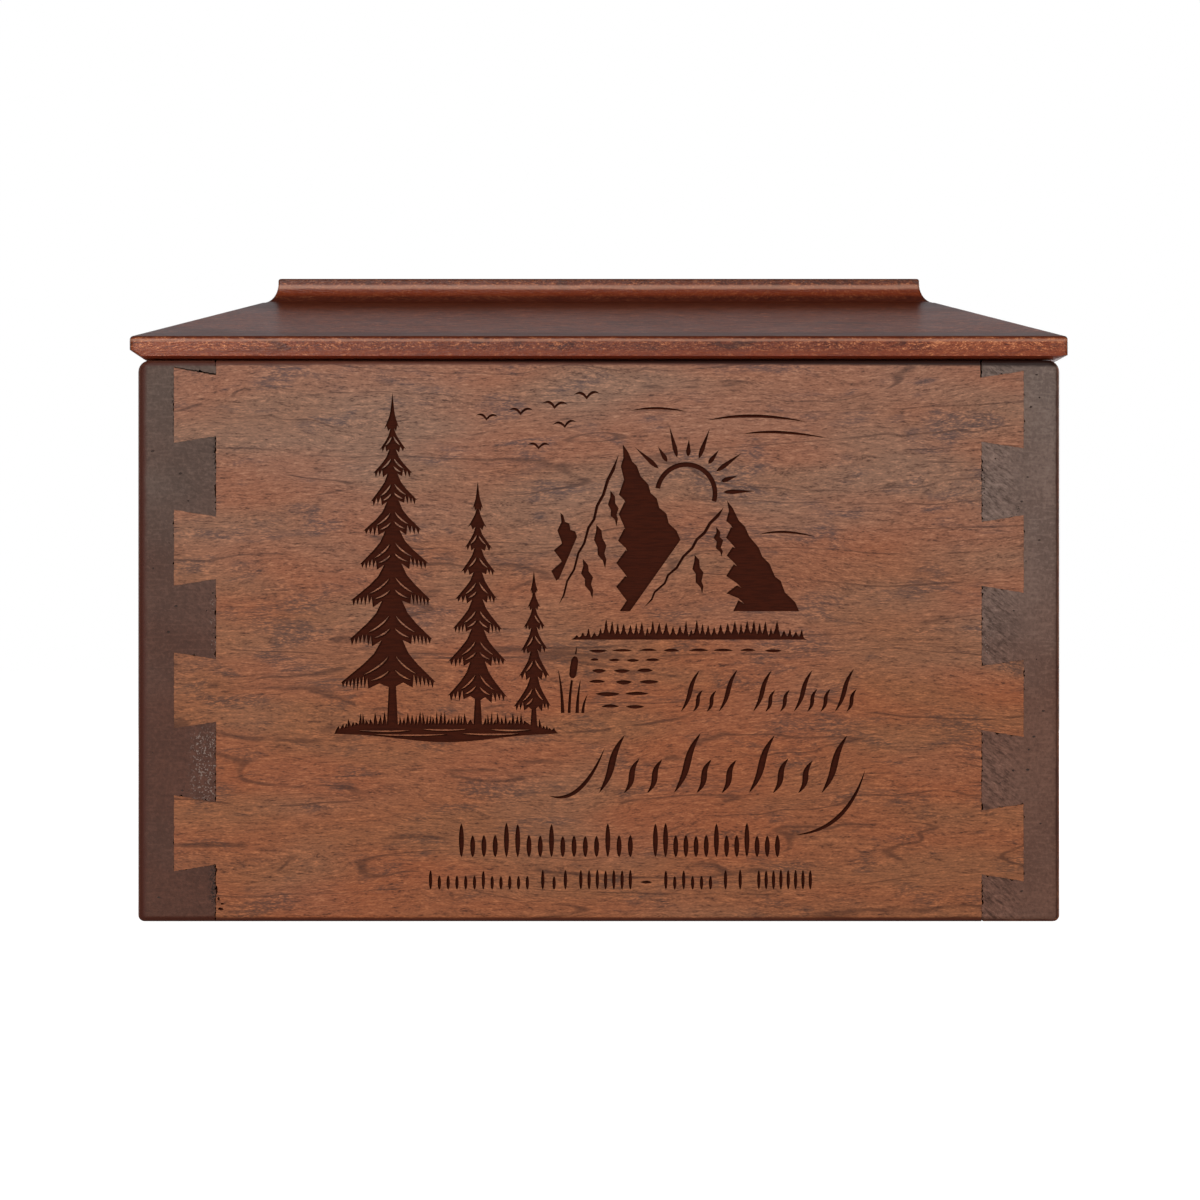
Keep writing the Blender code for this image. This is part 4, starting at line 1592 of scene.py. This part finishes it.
@dataclass(frozen=True)
class SlantedRow(Motif):
    """A row of slanted pen strokes: T tall, x low."""

    marks: str
    left: float
    foot: float
    low: float
    tall: float
    pitch: float
    width: float
    bend: float
    seed: int
    slant: float = 24.0
    tall_width: float = 1.15
    steps: int = 18

    def outlines(self) -> list[Outline]:
        """Draws the strokes.

        Returns:
            One outline for each stroke.
        """
        chance = random.Random(self.seed)
        lean = math.tan(math.radians(self.slant))
        shapes = []
        x = self.left
        for mark in self.marks:
            height = (self.tall if mark == "T" else self.low) * chance.uniform(0.94, 1.04)
            path = []
            for i in range(self.steps + 1):
                t = i / self.steps
                curl = self.bend * math.sin(2.0 * math.pi * t)
                path.append((x + height * t * lean + curl, self.foot + height * t))
            shapes.append(blade(path, self.width * (self.tall_width if mark == "T" else 1.0)))
            x += self.pitch * chance.uniform(0.88, 1.12)
        return shapes


@dataclass(frozen=True)
class UprightRow(Motif):
    """A row of straight upright strokes: T tall, x low."""

    marks: str
    left: float
    right: float
    foot: float
    low: float
    tall: float
    width: float
    seed: int
    fullness: float = 0.55
    steps: int = 12

    def outlines(self) -> list[Outline]:
        """Draws the strokes.

        Returns:
            One outline for each stroke.
        """
        chance = random.Random(self.seed)
        pitch = (self.right - self.left - self.width) / (len(self.marks) - 1)
        shapes = []
        for k, mark in enumerate(self.marks):
            x = self.left + self.width / 2 + pitch * k
            height = (self.tall if mark == "T" else self.low) * chance.uniform(0.96, 1.03)
            path = [(x, self.foot + height * i / self.steps) for i in range(self.steps + 1)]
            shapes.append(blade(path, self.width, self.fullness))
        return shapes


@dataclass(frozen=True)
class Chip(Motif):
    """A small chip broken out of the front at a joint."""

    x: float
    z: float
    half_x: float
    half_z: float
    seed: int
    ragged: tuple[float, float] = (0.6, 1.1)
    steps: int = 14

    def outlines(self) -> list[Outline]:
        """Draws the chip.

        Returns:
            The one ragged outline.
        """
        chance = random.Random(self.seed)
        points = []
        for x, z in arc((0.0, 0.0), 1.0, 0.0, 360.0, self.steps)[:-1]:
            reach = chance.uniform(*self.ragged)
            points.append((self.x + x * reach * self.half_x, self.z + z * reach * self.half_z))
        return [points]


LAKE_SCENE: tuple[Motif, ...] = (
    NearShore(),
    FarShore(),
    Flank((6.0, 119.0), (20.4, 95.2), (7.8, 77.4), (5.2, 77.4), 6, 14, 12),
    Flank((32.0, 105.0), (50.0, 77.4), (42.0, 77.4), (33.5, 77.4), 6, 12, 13),
    Flank((-9.6, 102.0), (-5.4, 96.0), (-9.9, 85.5), (-10.6, 85.0), 3, 7, 14),
    Ridge((5.0, 116.6), (-10.0, 79.0), 15),
    Ridge((31.2, 103.4), (11.0, 78.0), 16),
    Rib((2.9, 107.5), (4.4, 98.5), 2.0, 17),
    Rib((-0.6, 99.0), (1.6, 88.0), 2.3, 18),
    Rib((-4.0, 90.5), (-1.6, 80.5), 2.1, 19),
    Rib((29.3, 98.5), (30.6, 91.0), 1.7, 20),
    Rib((23.9, 91.5), (25.8, 81.8), 2.0, 21),
    Sun(),
    Bird(-3.0, 131.0, 6.6, 0.0),
    Bird(-11.0, 128.6, 6.4, -6.0),
    Bird(-19.5, 127.0, 6.2, -3.0),
    Bird(-8.5, 123.8, 6.0, 4.0),
    Bird(-15.0, 118.4, 5.6, -4.0),
    Bird(-28.0, 125.6, 5.6, -6.0),
    FreeStroke((27.0, 125.0), (38.0, 127.4), (52.0, 124.6), 0.8),
    FreeStroke((36.0, 121.6), (44.0, 123.0), (57.0, 120.6), 0.7),
    FreeStroke((40.0, 96.6), (46.0, 98.0), (54.0, 96.0), 0.6),
    FreeStroke((8.0, 127.4), (14.0, 128.8), (22.0, 127.2), 0.6),
    RippleRow(67.6, -3.4, 47.0, 8, 0.8, 22),
    RippleRow(65.2, -3.0, 16.0, 4, 0.9, 23),
    RippleRow(62.6, -2.4, 15.0, 3, 1.0, 24),
    RippleRow(59.8, -3.0, 16.0, 3, 1.1, 25),
    RippleRow(56.8, -1.6, 14.0, 2, 1.2, 26),
    RippleRow(53.6, 0.0, 13.0, 2, 1.1, 27),
    Reed(-9.0, 11.0, -1.2, 0.9),
    Reed(-5.4, 8.4, 0.9, 0.9),
    Reed(-4.0, 4.6, 1.2, 0.8),
    Bulrush(),
)

STROKE_ROWS: tuple[Motif, ...] = (
    SlantedRow("TxxT", 20.5, 52.3, 5.6, 11.0, 3.3, 1.0, 0.35, 31),
    SlantedRow("TxxTxxTx", 38.5, 52.3, 5.6, 11.0, 3.3, 1.0, 0.35, 32),
    SlantedRow("TxxTxxTxxT", 0.0, 32.0, 8.4, 14.6, 6.1, 1.5, 0.5, 33),
    FreeStroke((-12.5, 31.4), (-4.4, 28.6), (1.6, 43.6), 1.0),
    FreeStroke((66.5, 38.0), (62.0, 22.6), (49.0, 21.6), 1.0),
    UprightRow("TxxxTTxxTxxxxTxx", -34.9, 8.5, 16.0, 5.5, 8.5, 1.25, 34),
    UprightRow("TTxxxxTxxTxxx", 13.5, 45.2, 16.0, 5.5, 8.5, 1.25, 35),
    UprightRow("TxxxxxTxxxxx", -42.4, -17.4, 7.9, 3.5, 5.0, 0.85, 36),
    UprightRow("TxT", -14.4, -7.9, 7.9, 3.5, 5.0, 0.85, 37),
    UprightRow("TTTTTTT", -4.9, 8.3, 7.9, 3.5, 5.0, 0.85, 38),
    FreeStroke((10.5, 9.8), (11.9, 9.8), (13.3, 9.8), 0.7),
    UprightRow("TxTxxx", 16.3, 28.3, 7.9, 3.5, 5.0, 0.85, 39),
    UprightRow("TT", 31.2, 35.7, 7.9, 3.5, 5.0, 0.85, 40),
    UprightRow("TTTTTTTT", 39.5, 53.2, 7.9, 3.5, 5.0, 0.85, 41),
)

CHIPS: tuple[Motif, ...] = (
    Chip(-94.3, 3.1, 0.8, 0.42, 91),
    Chip(-93.9, 4.4, 0.45, 0.3, 94),
    Chip(-94.9, 5.6, 0.35, 0.5, 95),
    Chip(-95.4, 7.9, 0.35, 1.1, 92),
    Chip(-95.5, 12.8, 0.3, 0.8, 93),
)


@dataclass(frozen=True)
class Engraving:
    """What is cut into the front: the picture, the rows of strokes, and the chips at the joints."""

    motifs: tuple[Motif, ...] = LAKE_SCENE + STROKE_ROWS + CHIPS
    depth: float = 0.8 * MM
    out: float = 1.0 * MM

    def cutter(self, face: float) -> Piece:
        """Makes the cutter.

        Args:
            face: The front face's y.

        Returns:
            One bar for each outline, reaching into the face, without the lines that stay uncut.
        """
        outlines = [outline for motif in self.motifs for outline in motif.outlines()]
        spared = [outline for motif in self.motifs for outline in motif.spared()]
        cutter = bars("engraving", outlines, face - self.out, face + self.depth, MM)
        lines = bars("spared", spared, face - 2 * self.out, face + 2 * self.depth, MM)
        return cutter.combine(lines, "DIFFERENCE")


@dataclass(frozen=True)
class PinRow:
    """The pins at one end of the front and back boards: where they are, and how frayed."""

    first: float
    pitch: float
    seed: int
    count: int = 5
    at_line: float = 20.06 * MM
    at_tip: float = 16.7 * MM
    fray_step: float = 0.5 * MM
    fray: float = 0.05 * MM
    nick: float = 0.45 * MM
    nick_share: float = 0.06
    torn_share: float = 0.6
    unevenness: float = 0.45
    open_below: float = 0.0
    open_beside: float = 0.0

    def corners(self, line: float, tip: float, play: float, opened: bool = False) -> Outline:
        """Draws the straight edge of a tail board between the pins.

        Args:
            line: The x of the pins' inner faces.
            tip: The x of the tails' ends.
            play: How much the pins are narrowed on each flank.
            opened: Whether the joint stands open at the topmost pin.

        Returns:
            Its corners from below its foot to above its top.
        """
        points = []
        for k in range(self.count):
            middle = self.first + self.pitch * k
            wide = self.at_line / 2 - play
            narrow = self.at_tip / 2 - play
            points += [(tip, middle - narrow), (line, middle - wide)]
            points += [(line, middle + wide), (tip, middle + narrow)]
        if opened:
            shrunk = line - math.copysign(self.open_beside, line)
            points[-4] = (tip, points[-4][1] - self.open_below / 2)
            points[-3:-1] = [(shrunk, points[-3][1] - self.open_below), (shrunk, points[-2][1])]
        return [(tip, points[0][1] - self.pitch), *points, (tip, points[-1][1] + self.pitch)]

    def edge(self, side: int, line: float, tip: float, play: float) -> Outline:
        """Draws the same edge slightly frayed, and nicked into the pins where it outlines their sockets.

        Args:
            side: 1 for the right end, -1 for the left.
            line: The distance of the pins' inner faces from the middle.
            tip: The distance of the tails' ends from the middle.
            play: How much larger than the tails the outline is.

        Returns:
            Its points.
        """
        chance = random.Random(self.seed)
        plain = self.corners(side * line, side * tip, 0.0)
        moved = self.corners(side * (line + play), side * (tip + play), play, opened=play == 0.0)
        points = []
        for i in range(len(plain) - 1):
            a, b = plain[i:i + 2]
            c, d = moved[i:i + 2]
            length = math.dist(a, b)
            across = ((a[1] - b[1]) / length, (b[0] - a[0]) / length)
            count = max(1, round(length / self.fray_step))
            share = self.torn_share if a[0] == b[0] == side * line else self.nick_share
            points.append(c)
            torn = False
            for k in range(1, count):
                out = chance.gauss(0.0, self.fray)
                nick = side * self.nick * chance.random()
                torn = chance.random() < share and not (torn and chance.random() < 0.5)
                t = (k + chance.uniform(-self.unevenness, self.unevenness)) / count
                if torn and play > 0.0:
                    out -= nick
                points.append(tuple(c[j] + (d[j] - c[j]) * t + across[j] * out for j in (0, 1)))
        return [*points, moved[-1]]


@dataclass(frozen=True)
class Pores:
    """Small open pores in the end grain of a board's ends."""

    count: int = 44
    smallest: float = 0.14 * MM
    largest: float = 0.32 * MM
    depth: float = 0.2 * MM
    spacing: float = 3.0 * MM
    margin: float = 3.4 * MM

    def cutter(self, near: float, far: float, height: float, face: float, seed: int) -> Piece:
        """Makes the cutter.

        Args:
            near: One end of the field in x.
            far: The other end.
            height: The board's height.
            face: The y of the board's end.
            seed: The seed of the pores' places.

        Returns:
            One flattened ball for each pore.
        """
        chance = random.Random(seed)
        places = []
        for _ in range(self.count * 4):
            place = (chance.uniform(near, far), chance.uniform(self.margin, height - self.margin))
            if len(places) < self.count and all(math.dist(place, other) > self.spacing for other in places):
                places.append(place)
        shape = bmesh.new()
        for x, z in places:
            radius = chance.uniform(self.smallest, self.largest)
            ball = bmesh.ops.create_icosphere(shape, subdivisions=1, radius=radius)["verts"]
            bmesh.ops.scale(shape, vec=(chance.uniform(1.0, 2.2), self.depth / radius, 1.0), verts=ball)
            bmesh.ops.translate(shape, vec=(x, face, z), verts=ball)
        return Piece("pores", shape)


@dataclass(frozen=True)
class Carcass:
    """The four dovetailed boards and the panel between them."""

    half_width: float
    half_depth: float
    height: float
    board: float
    tail: float = 10.5 * MM
    left_pins: PinRow = PinRow(4.2 * MM, 35.62 * MM, seed=51, open_below=0.35 * MM)
    right_pins: PinRow = PinRow(1.7 * MM, 36.0 * MM, seed=52, open_beside=0.3 * MM)
    left_pores: Pores = Pores(count=14)
    right_pores: Pores = Pores(count=36)
    play: float = 0.035 * MM
    side_round: float = 2.8 * MM
    top_round: float = 1.0 * MM
    foot_round: float = 1.5 * MM
    upright_round: float = 2.0 * MM
    steps: int = 6
    reach: float = 5.0 * MM
    groove: float = 5.0 * MM
    groove_play: float = 0.3 * MM
    panel_round: float = 0.8 * MM
    panel_steps: int = 3
    pore_seed: int = 61
    least_cut: float = 0.01 * MM

    @classmethod
    def from_frame(cls) -> Carcass:
        """Takes the sizes from the frame's solids."""
        _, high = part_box("right_end_board")
        front_low, front_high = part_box("front_board")
        return cls(high.x, high.y, high.z, front_high.y - front_low.y)

    @property
    def line(self) -> float:
        """The distance of the end boards' inner faces from the middle."""
        return self.half_width - self.board

    @property
    def inner(self) -> float:
        """The distance of the front and back boards' inner faces from the middle."""
        return self.half_depth - self.board

    def block(self, name: str) -> Piece:
        """Makes the whole body as one block with rounded outer edges.

        Args:
            name: The piece's name.

        Returns:
            The piece.
        """
        levels = []
        for rise in self.rises(self.foot_round):
            inset = rounding(self.foot_round, rise)
            levels.append(Level.even(rise, inset, self.upright_round - inset))
        for rise in reversed(self.rises(self.side_round)):
            side = rounding(self.side_round, rise)
            face = rounding(self.top_round, rise)
            levels.append(Level(self.height - rise, side, side, face, self.upright_round - face))
        return stacked(name, self.half_width, self.half_depth, levels, self.steps)

    def rises(self, radius: float) -> list[float]:
        """Returns the heights of a rounding's steps over its outer end."""
        turns = [math.radians(90.0 * i / self.steps) for i in range(self.steps + 1)]
        return [radius * (1.0 - math.cos(turn)) for turn in turns]

    def tails(self, play: float) -> Outline:
        """Draws the front and back boards with their tails, taller than the body.

        Args:
            play: How much larger than the boards the outline is, at every joint.

        Returns:
            The outline.
        """
        tip = self.line + self.tail
        right = self.right_pins.edge(1, self.line, tip, play)
        left = self.left_pins.edge(-1, self.line, tip, play)
        return right + left[::-1]

    def groove_cutter(self) -> Piece:
        """Makes the cutter of the groove for the bottom panel.

        Returns:
            A slab a little thicker than the panel.
        """
        low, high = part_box("bottom_panel")
        x = self.line + self.groove
        y = self.inner + self.groove
        return box_piece("groove", (-x, -y, low.z - self.groove_play), (x, y, high.z + self.groove_play))

    def tail_board(self, name: str, side: int) -> Piece:
        """Makes the front or the back board.

        Args:
            name: The piece's name.
            side: -1 for the front, 1 for the back.

        Returns:
            The piece.
        """
        shape = bars("tails", [self.tails(0.0)], side * self.inner, side * (self.half_depth + self.reach))
        return self.block(name).combine(shape, "INTERSECT").combine(self.groove_cutter(), "DIFFERENCE")

    def end_board(self, name: str, side: int) -> Piece:
        """Makes the left or the right board.

        Args:
            name: The piece's name.
            side: -1 for the left, 1 for the right.

        Returns:
            The piece, with its sockets.
        """
        ends = sorted((side * self.line, side * (self.half_width + self.reach)))
        far = self.half_depth + self.reach
        slab = box_piece("slab", (ends[0], -far, -self.reach), (ends[1], far, self.height + self.reach))
        board = self.block(name).combine(slab, "INTERSECT")
        pores = self.right_pores if side > 0 else self.left_pores
        field = (side * (self.line + pores.smallest), side * (self.half_width - pores.margin))
        for face in (-1, 1):
            start = face * (self.inner - self.play)
            board.combine(bars("sockets", [self.tails(self.play)], start, face * far), "DIFFERENCE")
            seed = self.pore_seed + 2 * (side + face)
            cutter = pores.cutter(*field, self.height, face * self.half_depth, seed)
            board.combine(cutter, "DIFFERENCE")
        return board.combine(self.groove_cutter(), "DIFFERENCE")

    def panel(self, name: str) -> Piece:
        """Makes the bottom panel with softened edges.

        Args:
            name: The piece's name.

        Returns:
            The piece.
        """
        low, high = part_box("bottom_panel")
        piece = box_piece(name, tuple(low), tuple(high))
        shape = bmesh.new()
        shape.from_mesh(piece.item.data)
        bmesh.ops.bevel(
            shape, geom=shape.edges[:], offset=self.panel_round, segments=self.panel_steps, profile=0.5,
            affect="EDGES", material=-1,
        )
        shape.to_mesh(piece.item.data)
        shape.free()
        return piece

    def build(self, groups: Groups, engraving: Engraving) -> None:
        """Makes and dresses the five pieces.

        Args:
            groups: The shared node groups.
            engraving: What is cut into the front.
        """
        front = self.tail_board("front_board_dressed", -1)
        front.combine(engraving.cutter(-self.half_depth), "DIFFERENCE")
        coats = [FRONT_WOOD, HIDDEN_ENDS, BURNT_CUT]
        front.finish(
            "front_board", "front_wood", coats, groups, lambda face: self.front_choice(face, engraving.depth),
        )
        back = self.tail_board("back_board_dressed", 1)
        back.finish("back_board", "back_wood", [BACK_WOOD, HIDDEN_ENDS], groups, cut_across(0))
        left = self.end_board("left_end_board_dressed", -1)
        coats = [LEFT_WOOD, LEFT_ENDS, OPEN_PORES]
        left.finish("left_end_board", "left_end_wood", coats, groups, self.end_choice)
        right = self.end_board("right_end_board_dressed", 1)
        coats = [RIGHT_WOOD, RIGHT_ENDS, OPEN_PORES]
        right.finish("right_end_board", "right_end_wood", coats, groups, self.end_choice)
        panel = self.panel("bottom_panel_dressed")
        panel.finish("bottom_panel", "panel_wood", [PANEL_WOOD, HIDDEN_ENDS], groups, cut_across(0))

    def end_choice(self, face: bpy.types.MeshPolygon) -> Coat:
        """Chooses the finish of an end board's face.

        Args:
            face: The face.

        Returns:
            Its finish, the special one in the pores.
        """
        x, y, z = (abs(value) for value in face.center)
        beside = self.line + self.play < x < self.half_width - self.side_round
        inside = self.side_round < z < self.height - self.side_round
        if beside and inside and self.least_cut < self.half_depth - y < 2.0 * self.left_pores.depth:
            return Coat.SPECIAL
        return Coat.ACROSS if abs(face.normal.y) > ACROSS_FROM else Coat.ALONG

    def front_choice(self, face: bpy.types.MeshPolygon, depth: float) -> Coat:
        """Chooses the finish of the front board's face.

        Args:
            face: The face.
            depth: How deep the engraving is.

        Returns:
            Its finish, the special one on the engraving's floor and walls.
        """
        x, y, z = face.center
        inside = abs(x) < self.line + self.tail and self.foot_round < z < self.height - self.side_round
        if inside and 0.1 * depth < y + self.half_depth < 1.5 * depth:
            return Coat.SPECIAL
        return Coat.ACROSS if abs(face.normal.x) > ACROSS_FROM else Coat.ALONG


@dataclass(frozen=True)
class Lid:
    """The loose lid: tongue, moulded edge, sloping borders, cove and raised field, in one piece."""

    half_width: float
    half_depth: float
    top: float
    underside: float
    tongue_foot: float
    tongue_in: float
    edge_top: float = 145.9 * MM
    corner: float = 1.2 * MM
    arris: float = 0.8 * MM
    chamfer_in: float = 3.4 * MM
    left_chamfer: float = 2.3 * MM
    right_chamfer: float = 1.0 * MM
    face_chamfer: float = 0.8 * MM
    slope_in: float = 31.9 * MM
    slope_top: float = 155.5 * MM
    cove_in: float = 35.7 * MM
    cove_top: float = 160.5 * MM
    field_arris: float = 0.6 * MM
    tongue_round: float = 1.0 * MM
    tongue_play: float = 0.5 * MM
    rest_gap: float = 0.3 * MM
    steps: int = 10

    @classmethod
    def from_frame(cls, carcass: Carcass) -> Lid:
        """Takes the sizes from the frame's solid.

        Args:
            carcass: The body that the lid lies on.

        Returns:
            The lid.
        """
        low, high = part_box("lid")
        tongue = high.x - carcass.line + cls.tongue_play
        return cls(high.x, high.y, high.z, carcass.height + cls.rest_gap, low.z, tongue)

    def chamfers(self) -> list[Level]:
        """Shapes the lower chamfer, which is lower or higher on each side.

        Returns:
            Its levels.
        """
        fulls = (self.left_chamfer, self.right_chamfer, self.face_chamfer)
        levels = []
        for rise in sorted({0.0, *fulls}):
            insets = [self.chamfer_in * max(1.0 - rise / full, 0.0) for full in fulls]
            levels.append(Level(self.underside + rise, *insets, self.corner))
        return levels

    def levels(self) -> list[Level]:
        """Shapes the lid from the tongue's foot up to the field.

        Returns:
            Its levels.
        """
        levels = [
            Level.even(self.tongue_foot, self.tongue_in + self.tongue_round, self.corner),
            Level.even(self.tongue_foot + self.tongue_round, self.tongue_in, self.corner),
            Level.even(self.underside, self.tongue_in, self.corner),
        ]
        levels.extend(self.chamfers())
        rise = math.atan2(self.slope_top - self.edge_top, self.slope_in)
        for i in range(self.steps // 2 + 1):
            turn = (math.pi / 2 - rise) * i / (self.steps // 2)
            inset = self.arris * (1.0 - math.cos(turn))
            height = self.edge_top - self.arris * (1.0 - math.sin(turn)) + inset * math.tan(rise)
            levels.append(Level.even(height, inset, self.corner))
        for i in range(self.steps + 1):
            turn = math.radians(90.0 * i / self.steps)
            inset = self.slope_in + (self.cove_in - self.slope_in) * math.sin(turn)
            height = self.slope_top + (self.cove_top - self.slope_top) * (1.0 - math.cos(turn))
            levels.append(Level.even(height, inset, self.corner / 2))
        for i in range(self.steps // 2 + 1):
            turn = math.radians(90.0 * i / (self.steps // 2))
            inset = self.cove_in + self.field_arris * (1.0 - math.cos(turn))
            height = self.top - self.field_arris * (1.0 - math.sin(turn))
            levels.append(Level.even(height, inset, self.corner / 2))
        return levels

    def build(self, groups: Groups) -> None:
        """Makes and dresses the lid.

        Args:
            groups: The shared node groups.
        """
        piece = stacked("lid_dressed", self.half_width, self.half_depth, self.levels(), self.steps // 2)
        piece.finish("lid", "lid_wood", [LID_WOOD, LID_ENDS, LID_EDGES], groups, self.choice)

    def choice(self, face: bpy.types.MeshPolygon) -> Coat:
        """Chooses the finish of a face.

        Args:
            face: The face.

        Returns:
            Its finish, the special one on the upright edges along the fibres.
        """
        if abs(face.normal.x) > ACROSS_FROM:
            return Coat.ACROSS
        return Coat.SPECIAL if abs(face.normal.y) > UPRIGHT_FROM else Coat.ALONG


@dataclass(frozen=True)
class SoftLight:
    """A soft rectangular light that looks at the box and isn't seen itself."""

    name: str
    place: tuple[float, float, float]
    width: float
    height: float
    power: float
    colour: Colour = WHITE
    aim: tuple[float, float, float] = (0.0, 0.0, 0.08)

    def build(self) -> None:
        """Hangs the light in its place."""
        light = bpy.data.lights.new(self.name, "AREA")
        light.shape = "RECTANGLE"
        light.size = self.width
        light.size_y = self.height
        light.energy = self.power
        light.color = self.colour
        item = bpy.data.objects.new(self.name, light)
        item.location = self.place
        way = Vector(self.aim) - Vector(self.place)
        item.rotation_euler = way.to_track_quat("-Z", "Y").to_euler()
        item.visible_camera = False
        bpy.context.scene.collection.objects.link(item)


@dataclass(frozen=True)
class Studio:
    """A plain pale floor, soft lights and the camera."""

    floor_size: float = 14.0
    floor_cells: int = 8
    floor_roughness: float = 0.9
    floor_gap: float = 0.1 * MM
    floor_colour: float = 0.8
    floor_glow: float = 0.92
    surround: float = 0.1
    backdrop: float = 1.0
    camera: tuple[float, float, float] = (0.0003, -2.0875, 0.0802)
    seen_width: float = 0.2994
    distance: float = 2.0
    sensor: float = 36.0
    lights: tuple[SoftLight, ...] = (
        SoftLight("key", (-0.8, -2.35, 0.8), 1.1, 0.9, 40.0),
        SoftLight("fill", (1.5, -2.1, 0.4), 1.2, 1.0, 15.0),
        SoftLight("back_wall", (0.0, 2.4, 1.35), 4.0, 1.5, 10.5, (0.9, 0.95, 1.0)),
        SoftLight("rear", (0.9, 2.6, 0.3), 1.6, 0.8, 16.0),
        SoftLight("left_side", (-1.9, 1.9, 0.5), 1.0, 0.8, 9.0),
        SoftLight("right_side", (1.9, 1.9, 0.5), 1.0, 0.8, 9.0),
    )

    def build(self) -> None:
        """Sets up everything around the box."""
        self.build_floor()
        self.build_world()
        self.build_camera()
        for light in self.lights:
            light.build()

    def build_floor(self) -> None:
        """Lays the floor, which looks white where no shadow falls."""
        shape = bmesh.new()
        cells = {"x_segments": self.floor_cells, "y_segments": self.floor_cells}
        bmesh.ops.create_grid(shape, **cells, size=self.floor_size / 2)
        bmesh.ops.translate(shape, vec=(0.0, 0.0, -self.floor_gap), verts=shape.verts)
        mesh = bpy.data.meshes.new("floor")
        shape.to_mesh(mesh)
        shape.free()
        floor = bpy.data.objects.new("floor", mesh)
        material = bpy.data.materials.new("pale_floor")
        material.use_nodes = True
        graph = Graph(material.node_tree)
        seen = graph.made("ShaderNodeLightPath", {}, "Is Camera Ray")
        looks = {
            "Base Color": (self.floor_colour,) * 3,
            "Roughness": self.floor_roughness,
            "Emission Color": WHITE,
            "Emission Strength": seen * self.floor_glow,
        }
        for name, look in looks.items():
            graph.feed(material.node_tree.nodes["Principled BSDF"].inputs[name], look)
        mesh.materials.append(material)
        bpy.context.scene.collection.objects.link(floor)

    def build_world(self) -> None:
        """Makes the surround: white where it is seen, dim as a light."""
        world = bpy.data.worlds.new("surround")
        world.use_nodes = True
        graph = Graph(world.node_tree)
        background = world.node_tree.nodes["Background"]
        seen = graph.made("ShaderNodeLightPath", {}, "Is Camera Ray")
        graph.feed(background.inputs["Color"], WHITE)
        graph.feed(background.inputs["Strength"], seen * (self.backdrop - self.surround) + self.surround)
        bpy.context.scene.world = world

    def build_camera(self) -> None:
        """Stands the camera level in front of the box."""
        camera = bpy.data.cameras.new("camera")
        camera.sensor_width = self.sensor
        camera.lens = self.sensor * self.distance / self.seen_width
        item = bpy.data.objects.new("camera", camera)
        item.location = self.camera
        item.rotation_euler = (math.radians(90.0), 0.0, 0.0)
        bpy.context.scene.collection.objects.link(item)
        bpy.context.scene.camera = item
        bpy.context.scene.view_settings.view_transform = "Standard"


def corners(box: tuple[Vector, Vector]) -> list[list[float]]:
    """Returns a box's two corners as plain lists."""
    return [list(corner) for corner in box]


def main() -> None:
    """Makes the box's looks and the studio around it."""
    logging.basicConfig(level=logging.INFO, format="%(name)s: %(message)s")
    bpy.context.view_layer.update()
    groups = Groups.made()
    carcass = Carcass.from_frame()
    carcass.build(groups, Engraving())
    Lid.from_frame(carcass).build(groups)
    Studio().build()


if __name__ == "__main__":
    main()
